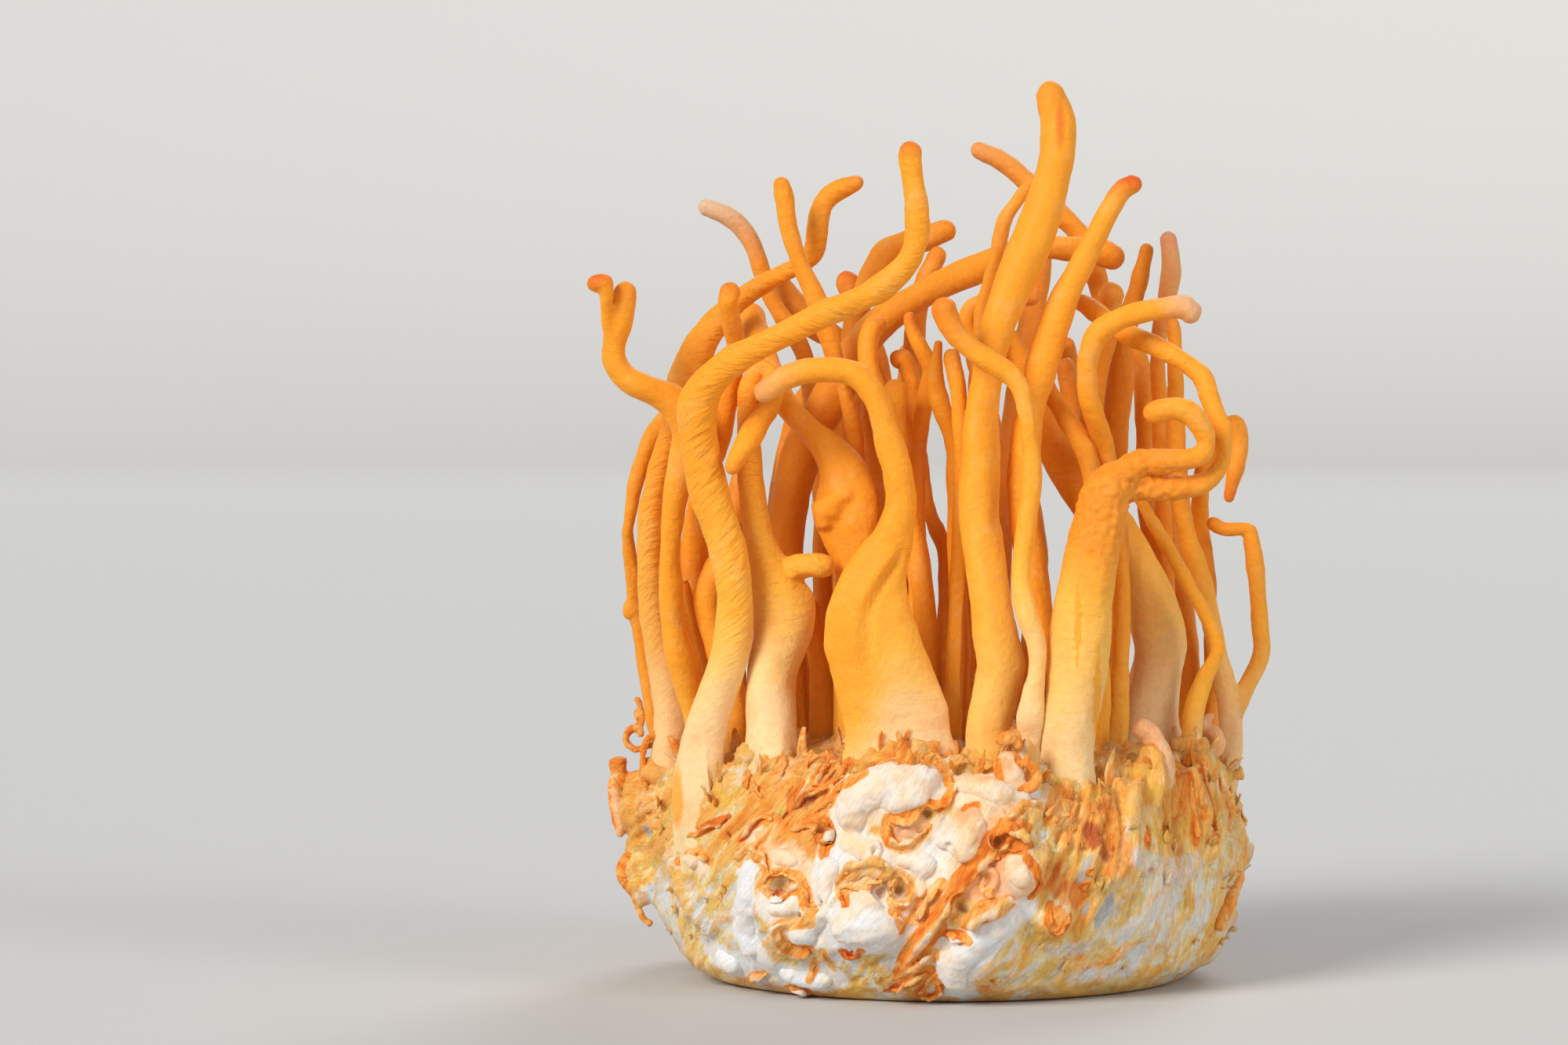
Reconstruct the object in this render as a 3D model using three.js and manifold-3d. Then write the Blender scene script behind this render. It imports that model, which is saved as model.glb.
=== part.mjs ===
// An orange club fungus: dozens of long bent clubs that grow from one round cake of grain.
// Millimetres, +Z up. The origin is the middle of the cake's flat underside, and -Y is the front.
import * as THREE from "three";
import { mergeVertices } from "three/addons/utils/BufferGeometryUtils.js";
import Module from "manifold-3d";

const wasm = await Module();
wasm.setup();

// Driving dimensions
const CAKE_RADIUS = 30.4;
const CAKE_BASE_RADIUS = 24;
const CAKE_RIM_HEIGHT = 21.5;
const CAKE_CROWN_HEIGHT = 25;
const CAKE_OFFSET_X = 0.7;
const CAKE_SECTORS = 26;
const CAKE_LUMPINESS = 0.7;
const GAP = 0.3;
const LONG_STEP = 15;
const TIP_ROUNDING = [0.75];

// A thick club has more sides than a thin one: the half widths from which it has six, and seven
const SIX_SIDES_FROM = 1.65;
const SEVEN_SIDES_FROM = 2.2;

// The cake's outline from its base to the middle of its top, each [distance in from CAKE_RADIUS, height]
const CAKE_OUTLINE = [
  [CAKE_RADIUS, 0], [CAKE_RADIUS - CAKE_BASE_RADIUS, 0], [3.4, 2.4], [1, 7], [0, 13.5],
  [1.7, CAKE_RIM_HEIGHT], [5, CAKE_RIM_HEIGHT + 2], [13, CAKE_RIM_HEIGHT + 3],
  [CAKE_RADIUS, CAKE_CROWN_HEIGHT],
];
const WALL_START = 1;
const WALL_END = 6;

// The waves that make the cake uneven, each [waves round the cake, turn per mm of height, start, share]
const WAVES = [[5, 0.35, 0.6, 0.5], [9, -0.5, 2.1, 0.35], [14, 0.8, 4, 0.3]];

// How far a ridge's middle stands off the wall, and how far its ends taper out past its last points
const RIDGE_STAND = 0.3;
const RIDGE_TAPER = 1.4;
const RIDGE_SIDES = 5;

// A tuft's half width, how deep it is rooted, and how far over the rim it starts
const TUFT_RADIUS = 0.8;
const TUFT_ROOT = 3;
const TUFT_START = 0.4;

// How near two corners are to be one, and how near a corner is to the axis or the base to lie on it
const WELD = 1e-4;
const ON_AXIS = 1e-6;
const ON_BASE = 0.01;

// The clubs are laid out as they look from the front, from a point 560 mm away and a little above
const EYE = new THREE.Vector3(-16, -560, 65.8);

const FLESH = { color: "#f4a23c", roughness: 0.55, metalness: 0 };
const SKIN = { color: "#e9d3ae", roughness: 0.8, metalness: 0 };

// Every point of a club is [across, up, depth, radius, flatness]: its place on the upright sheet through
// the cake's middle as seen from the front, its distance behind that sheet, its half width there, and,
// where the club is a blade, its thickness over its width. The first point is its root, inside the cake.
const CLUBS = {
  club_front_left_hook: [
    [-24.4, 13.5, -12.5, 2.2], [-25.3, 18.5, -14, 2.1], [-24.1, 24.7, -15, 2.15], [-22.2, 30.4, -16, 2],
    [-21, 37.2, -17, 1.9], [-21.7, 43.5, -17, 1.95], [-23.6, 49.3, -17, 2.15], [-24.9, 56.4, -18, 2],
    [-24.3, 59.7, -19, 1.9], [-22, 62.2, -20, 1.6], [-16.9, 65.1, -21, 1.4], [-11.2, 67.8, -22, 1.4],
    [-6.2, 70.2, -22, 1.3], [-2.9, 73.8, -22, 1.2], [-2.4, 78.2, -22, 1.15], [-3, 82.1, -22, 1.1],
    [-3.1, 84.9, -22, 1.1],
  ],
  club_front_left_cane: [
    [-17.4, 18, -15.5, 2.7], [-17.2, 24, -16, 2.7], [-17.3, 30.5, -15, 2.65], [-16.2, 34.6, -14, 3, 0.8],
    [-16, 38.4, -13.5, 3.3, 0.7], [-18.2, 43.5, -13, 1.65], [-19, 46.8, -13, 1.45], [-19.4, 50.2, -13, 1.35],
    [-19.6, 55.6, -13, 1.35], [-19.4, 59.6, -12.5, 1.3], [-18.4, 62, -12.5, 1.2], [-17.2, 61.4, -13, 1.1],
    [-17.2, 58.8, -14.5, 1.1], [-18.5, 56.6, -16, 1.2], [-19.9, 54.5, -18, 1.1], [-21.6, 51.4, -20.2, 0.85],
  ],
  club_left_arch: [
    [-27.2, 17, -2.5, 2], [-27.8, 22.5, -3, 2], [-27.4, 28.2, -3.5, 2], [-29, 35.6, -5, 1.6],
    [-29.8, 45, -7, 1.3], [-28.8, 51.6, -7, 1.2], [-27.4, 55.6, -7, 1.3], [-26.6, 59.6, -6.5, 1.7],
    [-24.4, 64.4, -5.5, 1.7], [-20.8, 68.9, -4, 1.25], [-15.8, 71.8, -3.5, 1.05], [-13.1, 73.8, -3.5, 1.05],
    [-12.5, 77.2, -3.5, 1.05], [-11.4, 79.6, -3, 1.05], [-8, 81.2, -3, 0.9],
  ],
  club_left_thin: [
    [-27, 18, 2, 1.2], [-28.4, 22.8, 1.8, 1.1], [-29.8, 30.8, 1, 1.05], [-31, 37.6, 0, 1],
    [-31.8, 43.6, -2, 0.75], [-31.8, 46.4, -3, 0.7], [-30.8, 51.6, -3.5, 0.75], [-29, 55.8, -3, 0.9],
    [-27, 58.4, -1.5, 0.9], [-25.6, 60, -1, 0.8],
  ],
  club_left_forked: [
    [-24.2, 19, -6.5, 1.5], [-24.6, 24.4, -7, 1.45], [-26.4, 31.6, -9, 1.4], [-27.4, 37.2, -10, 1.3],
    [-27.6, 43.6, -11, 1.15], [-27, 49.2, -12, 1.2], [-25.8, 53.6, -12.5, 1.75], [-25.6, 56, -13, 1.9],
    [-27, 58.4, -13.5, 1.9], [-29.2, 59.6, -14, 1.5], [-31.8, 60.9, -14.5, 1.3], [-33.4, 63.4, -14.5, 1.2],
    [-32.8, 66.5, -15, 1.3], [-32, 70.7, -15, 1.2],
  ],
  club_left_upright: [
    [-23.6, 20, -0.5, 1.5], [-24, 25.2, -1, 1.4], [-25.2, 33.2, -1.5, 1.3], [-25.4, 40.4, -4, 1.6],
    [-24.6, 47.6, -7, 1.35], [-22.8, 54, -9, 1.1], [-21.6, 59.6, -10.3, 1.05], [-20.9, 63.6, -12.3, 0.95],
    [-21.6, 68.2, -15.5, 0.95], [-21.4, 70.5, -16, 0.95],
  ],
  club_left_knob: [
    [-20.6, 19, -9, 1.4], [-21.4, 29.2, -8.5, 1.45], [-23.6, 36.4, -8.5, 1.45], [-23.6, 39.8, -8.7, 1.45],
    [-22.2, 42.4, -8.7, 1.4], [-20.6, 43.6, -8.7, 1.2],
  ],
  club_left_wisp: [
    [-22.8, 19, -4.3, 0.7], [-23.6, 30.8, -5.6, 0.65], [-24.6, 34.4, -6.4, 0.65], [-26.2, 40.4, -7.2, 0.6],
  ],
  club_front_arch: [
    [-4.2, 17, -19.5, 5.4, 0.42], [-4.4, 24, -20, 5.5, 0.42], [-4.9, 27.6, -20.5, 5.3, 0.42],
    [-6.6, 32.4, -21, 5, 0.42], [-7.3, 36.4, -21.5, 4.5, 0.45], [-6.8, 40.4, -21.5, 3.4, 0.5],
    [-5.5, 43.6, -21.5, 2.5, 0.7], [-4.2, 47.6, -21.5, 1.6], [-4.4, 51.2, -21.5, 1.6],
    [-5.6, 55.6, -21.5, 1.35], [-6.6, 58.7, -21.5, 1.35], [-8.8, 61.4, -21.5, 1.35],
    [-12.4, 61.9, -21.5, 1.3], [-15.6, 61.1, -21, 1.15], [-18.8, 59.2, -20.5, 1.1],
  ],
  club_palm: [
    [-8.8, 19, -10, 1.8], [-9.2, 35.6, -12, 1.75], [-9.2, 42, -12, 1.95], [-9.8, 47.2, -12, 3.5, 0.45],
    [-10, 51.4, -11, 2.6, 0.6], [-12.3, 54.8, -9, 1.5], [-15.6, 58, -8, 1.35], [-17.2, 61.2, -5.6, 1.35],
    [-18.8, 65.2, -1.6, 1.35], [-19.6, 68.2, 1.2, 1.35],
  ],
  club_front_tall: [
    [4.6, 17, -19, 2.2], [4.8, 23.6, -20, 2.15], [5.7, 29.2, -20, 2.4], [6.1, 32.6, -20, 2.5],
    [5.1, 37.8, -19.5, 2.15], [4.4, 43, -19, 2.15], [3.8, 48.2, -18.5, 2.15], [4.1, 54.8, -18, 1.8],
    [4.5, 59.7, -17.5, 1.6], [5.8, 66.1, -17, 1.75], [8.3, 72.5, -16, 2.1], [10.8, 78.8, -15, 2],
    [11.8, 84.4, -14.5, 1.8], [11.7, 88, -14, 1.7], [10.9, 91, -14, 1.5],
  ],
  club_front_wavy: [
    [9, 17, -22, 1.3], [9.1, 23.2, -23, 1.3], [9.3, 27.4, -24, 1.3], [9.8, 31.8, -24.5, 0.95],
    [9.4, 35, -24.5, 1.2], [8.6, 37.6, -24.5, 1.2], [8.2, 41.6, -24, 1], [8.8, 46.6, -23.5, 1],
    [9.3, 51.5, -23, 0.95], [8.9, 56.1, -23, 0.95], [8.2, 59.7, -22.5, 1.05], [6.8, 61.6, -22, 1.15],
    [4.4, 63.1, -22, 1.1], [1.7, 65.4, -22, 1.25], [-0.2, 69.1, -22, 1.45],
  ],
  club_shoulder: [
    [13, 16, -22, 2.8], [12.9, 22.8, -23, 2.8], [14, 31, -23, 3.2], [14.6, 38.3, -22.6, 3.05],
    [15.9, 45.5, -22, 2.55], [16.9, 49.4, -22, 2.5], [18.4, 52.2, -21.8, 2.2],
  ],
  club_right_crook: [
    [17.6, 18, -11.5, 1.1], [18.2, 30, -12, 1.1], [18.4, 37.2, -12, 0.95], [18, 46.8, -12, 0.9],
    [16.9, 53.2, -12.5, 0.75], [16.2, 55.6, -13.6, 0.95], [15.3, 58, -15, 1.1], [14.9, 61.4, -16, 1.05],
    [15.6, 65, -16.5, 1.1], [17.4, 66.6, -17, 1.1], [19.9, 67.7, -17, 1.1], [24.2, 68.3, -17, 1.1],
    [26.2, 67.4, -17, 1],
  ],
  club_right_tall: [
    [10.9, 18, -16.2, 1.75], [11, 24.4, -16.8, 1.75], [10.8, 30.8, -17, 1.6], [10, 37.2, -17, 1.6],
    [9, 43.6, -16.5, 1.6], [8.4, 50, -16, 1.5], [9, 56.4, -15.5, 1.45], [10, 61.2, -15, 1.6],
    [11.4, 66.2, -15, 1.6], [14.2, 72.6, -14.7, 1.35], [16.2, 76.3, -14, 1.15], [18, 79.6, -14, 1.05],
    [20.1, 81.2, -14, 0.9],
  ],
  club_right_leaning: [
    [21, 19, -7.5, 3.2], [21, 26, -8, 3.3], [22.2, 31.6, -8, 2.7], [21.9, 36.4, -8, 2.7],
    [18.9, 43.4, -8, 2.4], [15.6, 48.4, -8, 2.4], [12.8, 52.4, -8, 2.25], [10.8, 56, -8, 1.9],
    [7.8, 63.2, -7, 1.4], [5.6, 66.8, -7, 1.2],
  ],
  club_right_diagonal: [
    [16.2, 18, -14.8, 1.1], [16.2, 30, -15.3, 1.1], [16, 43, -15.2, 1], [15, 52.4, -14, 0.95],
    [12.8, 56.8, -12.5, 0.95], [10.9, 59.9, -11.5, 0.95], [10, 61.2, -11, 0.9],
  ],
  club_right_crossing: [
    [25.2, 19, -11.5, 0.9], [26.1, 28, -12, 0.95], [28.1, 32.6, -12.8, 0.85], [27.4, 36, -13, 0.8],
    [24.2, 41.8, -13.5, 0.7], [20.6, 48.2, -15, 0.65], [19.6, 50, -15.5, 0.6],
  ],
  club_right_fork: [
    [28.4, 16, -3.5, 1.1], [29.5, 21.2, -4, 1.1], [29.7, 25.5, -4, 1.3], [29, 30, -4.5, 1.15],
    [28, 34, -5, 0.95], [27.2, 38.8, -5, 1.05], [25.8, 42.8, -5.5, 1.05], [24.5, 48.4, -6, 1.05],
    [24, 56, -6, 0.95], [23.8, 64.4, -6, 0.8], [23.5, 67.2, -6, 0.75],
  ],
  club_right_droop: [
    [26.8, 19, 2.4, 1], [27.7, 25.2, 2.2, 0.95], [27.6, 33.2, 1.2, 0.85], [27.3, 40.4, 0.4, 0.8],
    [26.4, 46.8, 0.4, 0.9], [27, 52, -3, 0.9], [28.6, 55.8, -6, 0.9], [29.9, 56.5, -8, 0.8],
    [30.6, 54.8, -9, 0.8], [30.1, 51.9, -10, 0.85], [29.3, 48.4, -10, 0.6],
  ],
  club_right_back_finger: [
    [17.2, 19, 2, 1.5], [17.6, 36, 1.2, 1.4], [17.7, 54.2, 0, 1.3], [18.2, 58.9, 0, 1.45],
    [18.6, 65.2, 0, 1.1], [19.8, 69.8, 0, 0.95], [21.2, 74.7, 0, 0.8],
  ],
  club_back_sweep: [
    [24.4, 19, 3.4, 1.5], [25, 27.2, 3.6, 1.4], [25, 34, 3.6, 1.35], [23.8, 39.4, 4, 1.3],
    [21.6, 45.2, 4.2, 1.2], [20.8, 54.8, 4.4, 0.9], [20.3, 62.2, 4.8, 1.1], [17.2, 67.2, 5.6, 1.05],
    [15.8, 71.6, 6.2, 1.05], [14.2, 75.6, 6.6, 1.1], [11.2, 78.6, 7, 1.1], [6.9, 82.6, 8, 1.1],
    [3.2, 84.6, 8, 0.95],
  ],
  club_right_red_tip: [
    [23.2, 19, -1, 1.1], [23.1, 36, -1, 1], [22.6, 48.4, -1, 0.85], [22.2, 61.3, -1, 0.8],
    [22.3, 65.5, -1.2, 0.8], [23.4, 71.5, -2, 0.9], [23.1, 75.9, -2, 0.9],
  ],
  club_back_arm: [
    [-15.4, 19, -4, 2], [-15.6, 35.6, -4, 1.9], [-15.7, 46, -4, 1.85], [-14, 54, -3.5, 2],
    [-11.8, 58, -3, 2], [-9.6, 62, -2.5, 1.85], [-6.2, 66.6, -1.8, 1.6], [-1, 70.1, -1, 1.45],
    [2.6, 71.8, 0, 1.6], [8.8, 74, 0.5, 1.35], [12.4, 74.2, 1, 1.25], [15.6, 73.9, 2, 1.4],
    [18.6, 73, 2.4, 1.4],
  ],
  club_centre_leaning: [
    [-6.9, 19, -6, 1.1], [-7.6, 38, -6, 1], [-8.4, 51.6, -6, 0.9], [-9, 56.4, -6.5, 0.8],
    [-11, 63.6, -7.5, 0.95], [-12.8, 69.2, -8, 1], [-14.8, 73.8, -8, 0.95], [-15.9, 78.6, -8, 1.05],
    [-16.4, 81.4, -8, 0.95],
  ],
  club_back_pale_tip: [
    [-12, 19, 6, 1.2], [-12, 35, 5, 1.1], [-12.4, 52, 4.5, 1], [-14.1, 63.6, 4, 0.95],
    [-17.2, 68.8, 4, 0.85], [-18.9, 74.1, 4, 0.95], [-21.4, 77.3, 4, 1.05], [-24.6, 78.6, 4, 0.9],
  ],
  club_back_stub: [
    [-5.6, 19, 11, 1.5], [-6, 40, 10, 1.4], [-7.4, 58, 8.4, 1.3], [-10, 64.4, 7.8, 1.3],
    [-13.2, 66.6, 7.6, 1.3], [-15.2, 68.8, 7.6, 1.3], [-16.8, 71.4, 7.6, 1.1],
  ],
  club_back_red_spot: [
    [-2.4, 19, 13.5, 1.2], [-3.4, 42, 13, 1.1], [-5.8, 60, 12, 1], [-8, 67.2, 11.2, 0.95],
    [-9.9, 71.8, 11, 1.25],
  ],
  club_back_bent: [
    [-9, 19, 3, 1.4], [-9.2, 40, 3, 1.3], [-9.2, 60, 3.4, 1.2], [-8.6, 67.4, 4.6, 1.25],
    [-6, 73.2, 6, 1.5], [-3.6, 74.6, 6, 1.45], [-0.8, 75.6, 6, 1.2], [1.4, 76.4, 6, 1.2],
  ],
  club_back_short: [
    [-2.6, 19, 3, 1.3], [-3, 44, 3, 1.2], [-2.8, 64, 3, 1.1], [-1.6, 70.8, 3.2, 1.1],
    [0, 74.3, 3.2, 1],
  ],
  club_centre_wisp: [
    [3.4, 19, -8.7, 1], [3.2, 40, -9, 0.9], [4, 66, -10, 0.75], [4.5, 69.2, -9.8, 0.65],
    [5.9, 75, -9.2, 0.8], [6.7, 77.6, -9, 0.75], [9.3, 81.2, -9, 0.6],
  ],
  club_right_blunt: [
    [15.2, 19, -2.5, 1.4], [15, 40, -2.5, 1.3], [15.4, 58, -2.5, 1.2], [16.8, 65.5, -3, 1.25],
    [17.3, 69, -4.2, 1.35], [17.4, 70.2, -5.8, 1.35],
  ],
  club_centre_kink: [
    [2.6, 19, -4.5, 1], [3.4, 40, -5, 1], [5, 58, -5.5, 0.9], [3.8, 63.6, -6, 0.7],
    [2.6, 66.4, -6, 0.8], [3.1, 68.2, -6, 0.7], [5.2, 69, -6, 0.7], [10, 69.4, -6, 0.95],
  ],
  club_centre_loop: [
    [-5.4, 19, -8.5, 1.1], [-5.4, 36, -9, 1.1], [-4.7, 50, -9.5, 0.95], [-5.6, 57.6, -10, 0.95],
    [-7, 61.2, -9.6, 0.95], [-7.5, 64.4, -9, 1.05], [-7, 66.2, -8.4, 0.95], [-5.8, 66.9, -8, 0.8],
  ],
  club_centre_loop_leg: [
    [-3.4, 19, -5.5, 1.1], [-3.2, 40, -6, 1], [-2.8, 54.8, -6, 0.8], [-3, 60.4, -6, 0.9],
    [-3.8, 62.8, -6, 1], [-5.2, 63.2, -6, 1],
  ],
  club_centre_bud: [
    [-1.2, 19, -12.8, 1.2], [-1.6, 38, -13.2, 1.2], [-4, 50, -13.6, 1.05], [-4.8, 57.2, -13.4, 1.1],
    [-4.6, 60.8, -13.4, 1.1],
  ],
  club_centre_needle: [
    [-1.6, 19, -9.3, 1.2], [-2.2, 35.6, -9.8, 1.1], [-2.5, 47, -10, 1], [-2.2, 55.1, -10, 0.95],
    [-1.3, 60.4, -10, 1.05], [-1.2, 62.4, -10, 0.95], [-2.9, 65.8, -10, 0.7], [-3.3, 67.6, -10, 0.55],
  ],
  club_centre_needle_right: [
    [2, 19, -12, 1.2], [1.8, 35.6, -12, 1.1], [1.4, 50.5, -12, 0.75], [0.9, 55.1, -12.4, 0.7],
    [0, 58.4, -12.8, 0.9], [-0.6, 61.2, -13, 0.8], [-0.2, 64.9, -13, 0.55],
  ],
  club_centre_behind: [
    [0.8, 19, -1, 1.1], [0.6, 36, -1.5, 1], [0.3, 43.6, -1.5, 0.9], [-1.4, 48.4, -1.5, 0.8],
    [-2.2, 54, -1, 0.7],
  ],
  club_centre_spindle: [
    [1, 19, -15.6, 1], [1.6, 36, -15.6, 0.95], [2.1, 54.8, -15.3, 0.8], [1.3, 62, -15.3, 0.95],
    [1, 64, -15.3, 0.9],
  ],
  club_dark_stub: [
    [-12, 19, -8, 1.4], [-12, 29.6, -8, 1.4], [-12.9, 35, -8, 1.1], [-13.3, 38.4, -8, 0.9],
  ],
  club_rear_left: [
    [-20.6, 19, 7.4, 1.6], [-22, 34, 11, 1.5], [-21.5, 44, 15, 1.2], [-20, 52, 18, 1.1], [-18.8, 57, 21.5, 1],
    [-17.6, 58.4, 25, 0.9],
  ],
  club_rear_left_hook: [
    [-16, 19, 13.5, 1.8], [-17, 34, 17, 1.6], [-16.6, 46, 20, 1.4], [-15.2, 55, 21, 1.2],
    [-13.4, 59.6, 18.8, 1.1],
    [-12.2, 59.6, 15.4, 1],
  ],
  club_rear_left_knob: [
    [-13.6, 19, 21, 1.7], [-14, 30, 23.6, 1.5], [-15.2, 37, 25.4, 1.5], [-15.4, 41, 26.4, 1.3],
  ],
  club_rear_outward: [
    [-8.6, 19, 18, 1.8], [-9.5, 32, 22.4, 1.6], [-10.4, 44, 26, 1.4], [-10.8, 54, 26.8, 1.2],
    [-9.6, 61, 24.6, 1.1],
    [-8.4, 64, 21, 1],
  ],
  club_rear_middle: [
    [-2.6, 19, 21.5, 1.7], [-3.6, 34, 23, 1.5], [-4.4, 46, 20, 1.4], [-3.8, 56, 19, 1.2], [-3.2, 62, 22, 1.1],
    [-3.4, 64, 25.6, 0.9],
  ],
  club_rear_wavy: [
    [3.4, 19, 19, 1.7], [4.4, 34, 22.6, 1.6], [5.4, 46, 25.4, 1.4], [5, 56, 23, 1.2], [3.8, 63, 21, 1.1],
    [2.2, 67, 22.6, 0.9],
  ],
  club_rear_bow: [
    [8.8, 19, 23.4, 1.6], [9, 28, 26.6, 1.4], [9.6, 38, 28.8, 1.3], [9.4, 46, 28, 1.2], [7.8, 51, 25.8, 1],
  ],
  club_rear_tall: [
    [5, 19, 9, 1.7], [5.6, 40, 10, 1.5], [7, 54, 12.5, 1.4], [8.8, 64, 15, 1.3], [9.8, 72, 16, 1.3],
    [10.9, 78, 15, 1],
  ],
  club_rear_right: [
    [12.6, 19, 17.4, 1.8], [14.8, 32, 21.4, 1.6], [16.2, 44, 24, 1.4], [15.6, 54, 23.4, 1.2],
    [13.6, 61, 20.4, 1],
    [12.6, 65, 17, 0.9],
  ],
  club_rear_right_outer: [
    [20.4, 19, 13.4, 1.7], [22.4, 32, 16.6, 1.6], [23.4, 44, 19.6, 1.4], [23.2, 54, 21.4, 1.2],
    [22.2, 59.4, 24.6, 1.1], [21.6, 60, 28, 0.9],
  ],
  club_rear_right_inner: [
    [15.8, 19, 8.4, 1.5], [16.4, 38, 8.8, 1.4], [14.5, 52, 9.4, 1.2], [12.5, 63, 10.6, 0.9],
  ],
};

// A branch starts inside the club that bears it
const BRANCHES = {
  club_left_forked_hammer: {
    on: "club_left_forked",
    points: [
      [-33.4, 63.8, -14.8, 0.65], [-34.2, 67.2, -16.2, 0.5], [-34.1, 69.2, -17, 0.65],
      [-34.3, 70.6, -17, 0.95],
      [-35.9, 70.7, -17, 0.9],
    ],
  },
  club_shoulder_curl: {
    on: "club_shoulder",
    points: [
      [17.4, 51, -22, 1.4], [19.6, 52.1, -22, 1.5], [21.6, 52.6, -22, 1.25], [26, 53, -22.5, 1.1],
      [27, 54.8, -22.6, 1.1], [25.6, 57.3, -23, 1.2], [23.4, 57.9, -23, 1.3], [20.6, 57.3, -23, 1.3],
    ],
  },
  club_shoulder_arm: {
    on: "club_shoulder",
    points: [
      [17, 50, -21.4, 1.5], [19.8, 50, -21, 1.5], [22.2, 49.8, -21, 1.2], [26.6, 50.2, -20.7, 1.1],
      [28.6, 52.3, -20, 1.05], [28.7, 55.8, -18.6, 1], [27.2, 59.4, -17, 1], [26, 61.9, -16, 0.95],
      [21.1, 64.6, -14, 1.1], [18.4, 65.8, -12.6, 1.05], [15.2, 68.2, -11, 1.05], [13.4, 69.2, -10, 1],
    ],
  },
  club_right_bracket: {
    on: "club_right_fork",
    points: [
      [29.6, 25.5, -3.8, 0.9], [31, 29, -3.6, 0.9], [32.6, 32.3, -3, 0.9], [32.6, 35.3, -2.8, 0.95],
      [32.3, 40.2, -2.5, 0.9], [31.7, 44.5, -2, 0.8], [31.2, 45.7, -2, 0.7], [29.2, 45.6, -2.2, 0.7],
      [27.4, 46.4, -2.5, 0.65],
    ],
  },
};

// Short side growths that are one with a club: the same points, without the name of their own
const SIDE_GROWTHS = {
  club_front_left_cane: [[-15.2, 41.6, -13.8, 1.45], [-13, 41.9, -14.6, 1.4], [-10.7, 41.7, -15, 1.4]],
  club_palm: [[-9.6, 49, -12, 1.6], [-11.7, 47.6, -12.6, 1.75], [-11.8, 45.2, -12.9, 1.5]],
  club_left_thin: [[-30.6, 38.2, 0, 0.8], [-31.6, 37.4, -0.2, 1], [-32.2, 36.6, -0.3, 0.8]],
};

// Lumps of the skin, each [turn in degrees from the front, height, half width, half height, thickness, stand]
const LUMPS = [
  [-12, 19.6, 6.4, 4.2, 3.2, 0.6], [7.5, 18.2, 4.8, 5.2, 3, 0.8], [-35, 10.2, 4, 5.2, 2.6, 1],
  [-18, 10.2, 5.2, 4.8, 2.8, 1], [-41, 5, 2.6, 2.2, 1.8, 0.3], [5, 6, 4.2, 4, 2.8, 0.6],
  [12.5, 14, 2.6, 3.4, 1.8, 1.6], [4, 9.4, 3.2, 1.9, 1.8, 1.8], [19, 8.4, 2.2, 1.8, 1.2, 1.4],
  [14, 23, 1.8, 4.4, 1.8, 0.2], [45, 21.6, 2, 4, 1.8, 0], [66, 22.8, 1.8, 3.4, 1.8, -0.6],
  [-86, 17.8, 3, 3.9, 2.6, 3.2], [-87, 11, 2.4, 4.8, 1.9, 2.4], [80, 8.6, 1, 4, 1, 0.5],
  [100, 12, 4.6, 4, 2.6, 0.6], [128, 17, 5.4, 3.8, 2.6, 0.6], [150, 8, 5, 4.6, 2.8, 0.5],
  [172, 15, 4.4, 5.2, 2.6, 0.7], [-165, 7, 4.6, 3.6, 2.6, 0.6], [-148, 16, 5.4, 4, 2.8, 0.6],
  [-122, 9, 4.8, 4.4, 2.6, 0.6], [-108, 18, 4, 3.4, 2.4, 0.5],
];

// Ridges and lips of the skin, each a line of [turn, height, radius]
const RIDGES = [
  [[2, 16.5, 0.9], [-3, 10, 1.3], [-9, 3.6, 1]],
  [[-30, 16, 0.8], [-33, 10.5, 1.2], [-27, 5.6, 1.2], [-22, 6, 0.8]],
  [[-22, 14.4, 0.8], [-15, 15.4, 1.2], [-10, 12, 0.9]],
  [[55, 22, 1], [58, 16, 1.2], [61, 11, 0.7]],
  [[38, 21, 0.9], [36, 15, 1.1], [30, 10.5, 0.7]],
  [[-62, 19.5, 0.9], [-66, 13, 1.2], [-60, 7, 0.8]],
  [[112, 20, 1], [118, 12, 1.3], [112, 5, 0.9]],
  [[160, 20, 1], [154, 13, 1.3], [163, 6, 0.9]],
  [[-136, 20, 1], [-130, 12, 1.3], [-138, 5, 0.9]],
];

// Tufts that stand up along the rim, each [turn, distance from the middle, height, lean outwards]
const TUFTS = [
  [-58, 27, 3.2, 0.5], [-47, 28, 2.4, 0.2], [-33, 27, 3, 0.3], [-24, 26, 3.6, -0.2], [-17, 28, 2.2, 0.6],
  [-3, 27.6, 3.2, 0.3], [4, 28, 2.6, -0.3], [24, 27.5, 2.8, 0.4], [38, 27.6, 3.2, 0.2], [52, 27, 3.6, 0.4],
  [63, 27.4, 2.6, -0.2], [73, 27.6, 3.6, 0.5], [-72, 27.8, 3, 0.4], [-98, 27.6, 4.6, 0.5], [96, 27, 3, 0.3],
  [118, 27.2, 2.6, 0.4], [140, 27, 3.4, 0.2], [163, 27.2, 2.8, 0.4], [-172, 27, 3.4, 0.3],
  [-150, 27.2, 2.6, 0.4], [-128, 27, 3.2, 0.3],
];

// A closed three.js geometry as a solid
function solidOf(geometry) {
  geometry.deleteAttribute("normal");
  geometry.deleteAttribute("uv");
  const merged = mergeVertices(geometry, WELD);
  return new wasm.Manifold(
    new wasm.Mesh({
      numProp: 3,
      vertProperties: merged.attributes.position.array,
      triVerts: new Uint32Array(merged.index.array),
    }),
  );
}

// The largest body of a solid
function largest(solid) {
  return solid.decompose().reduce((best, body) => (body.volume() > best.volume() ? body : best));
}

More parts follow.
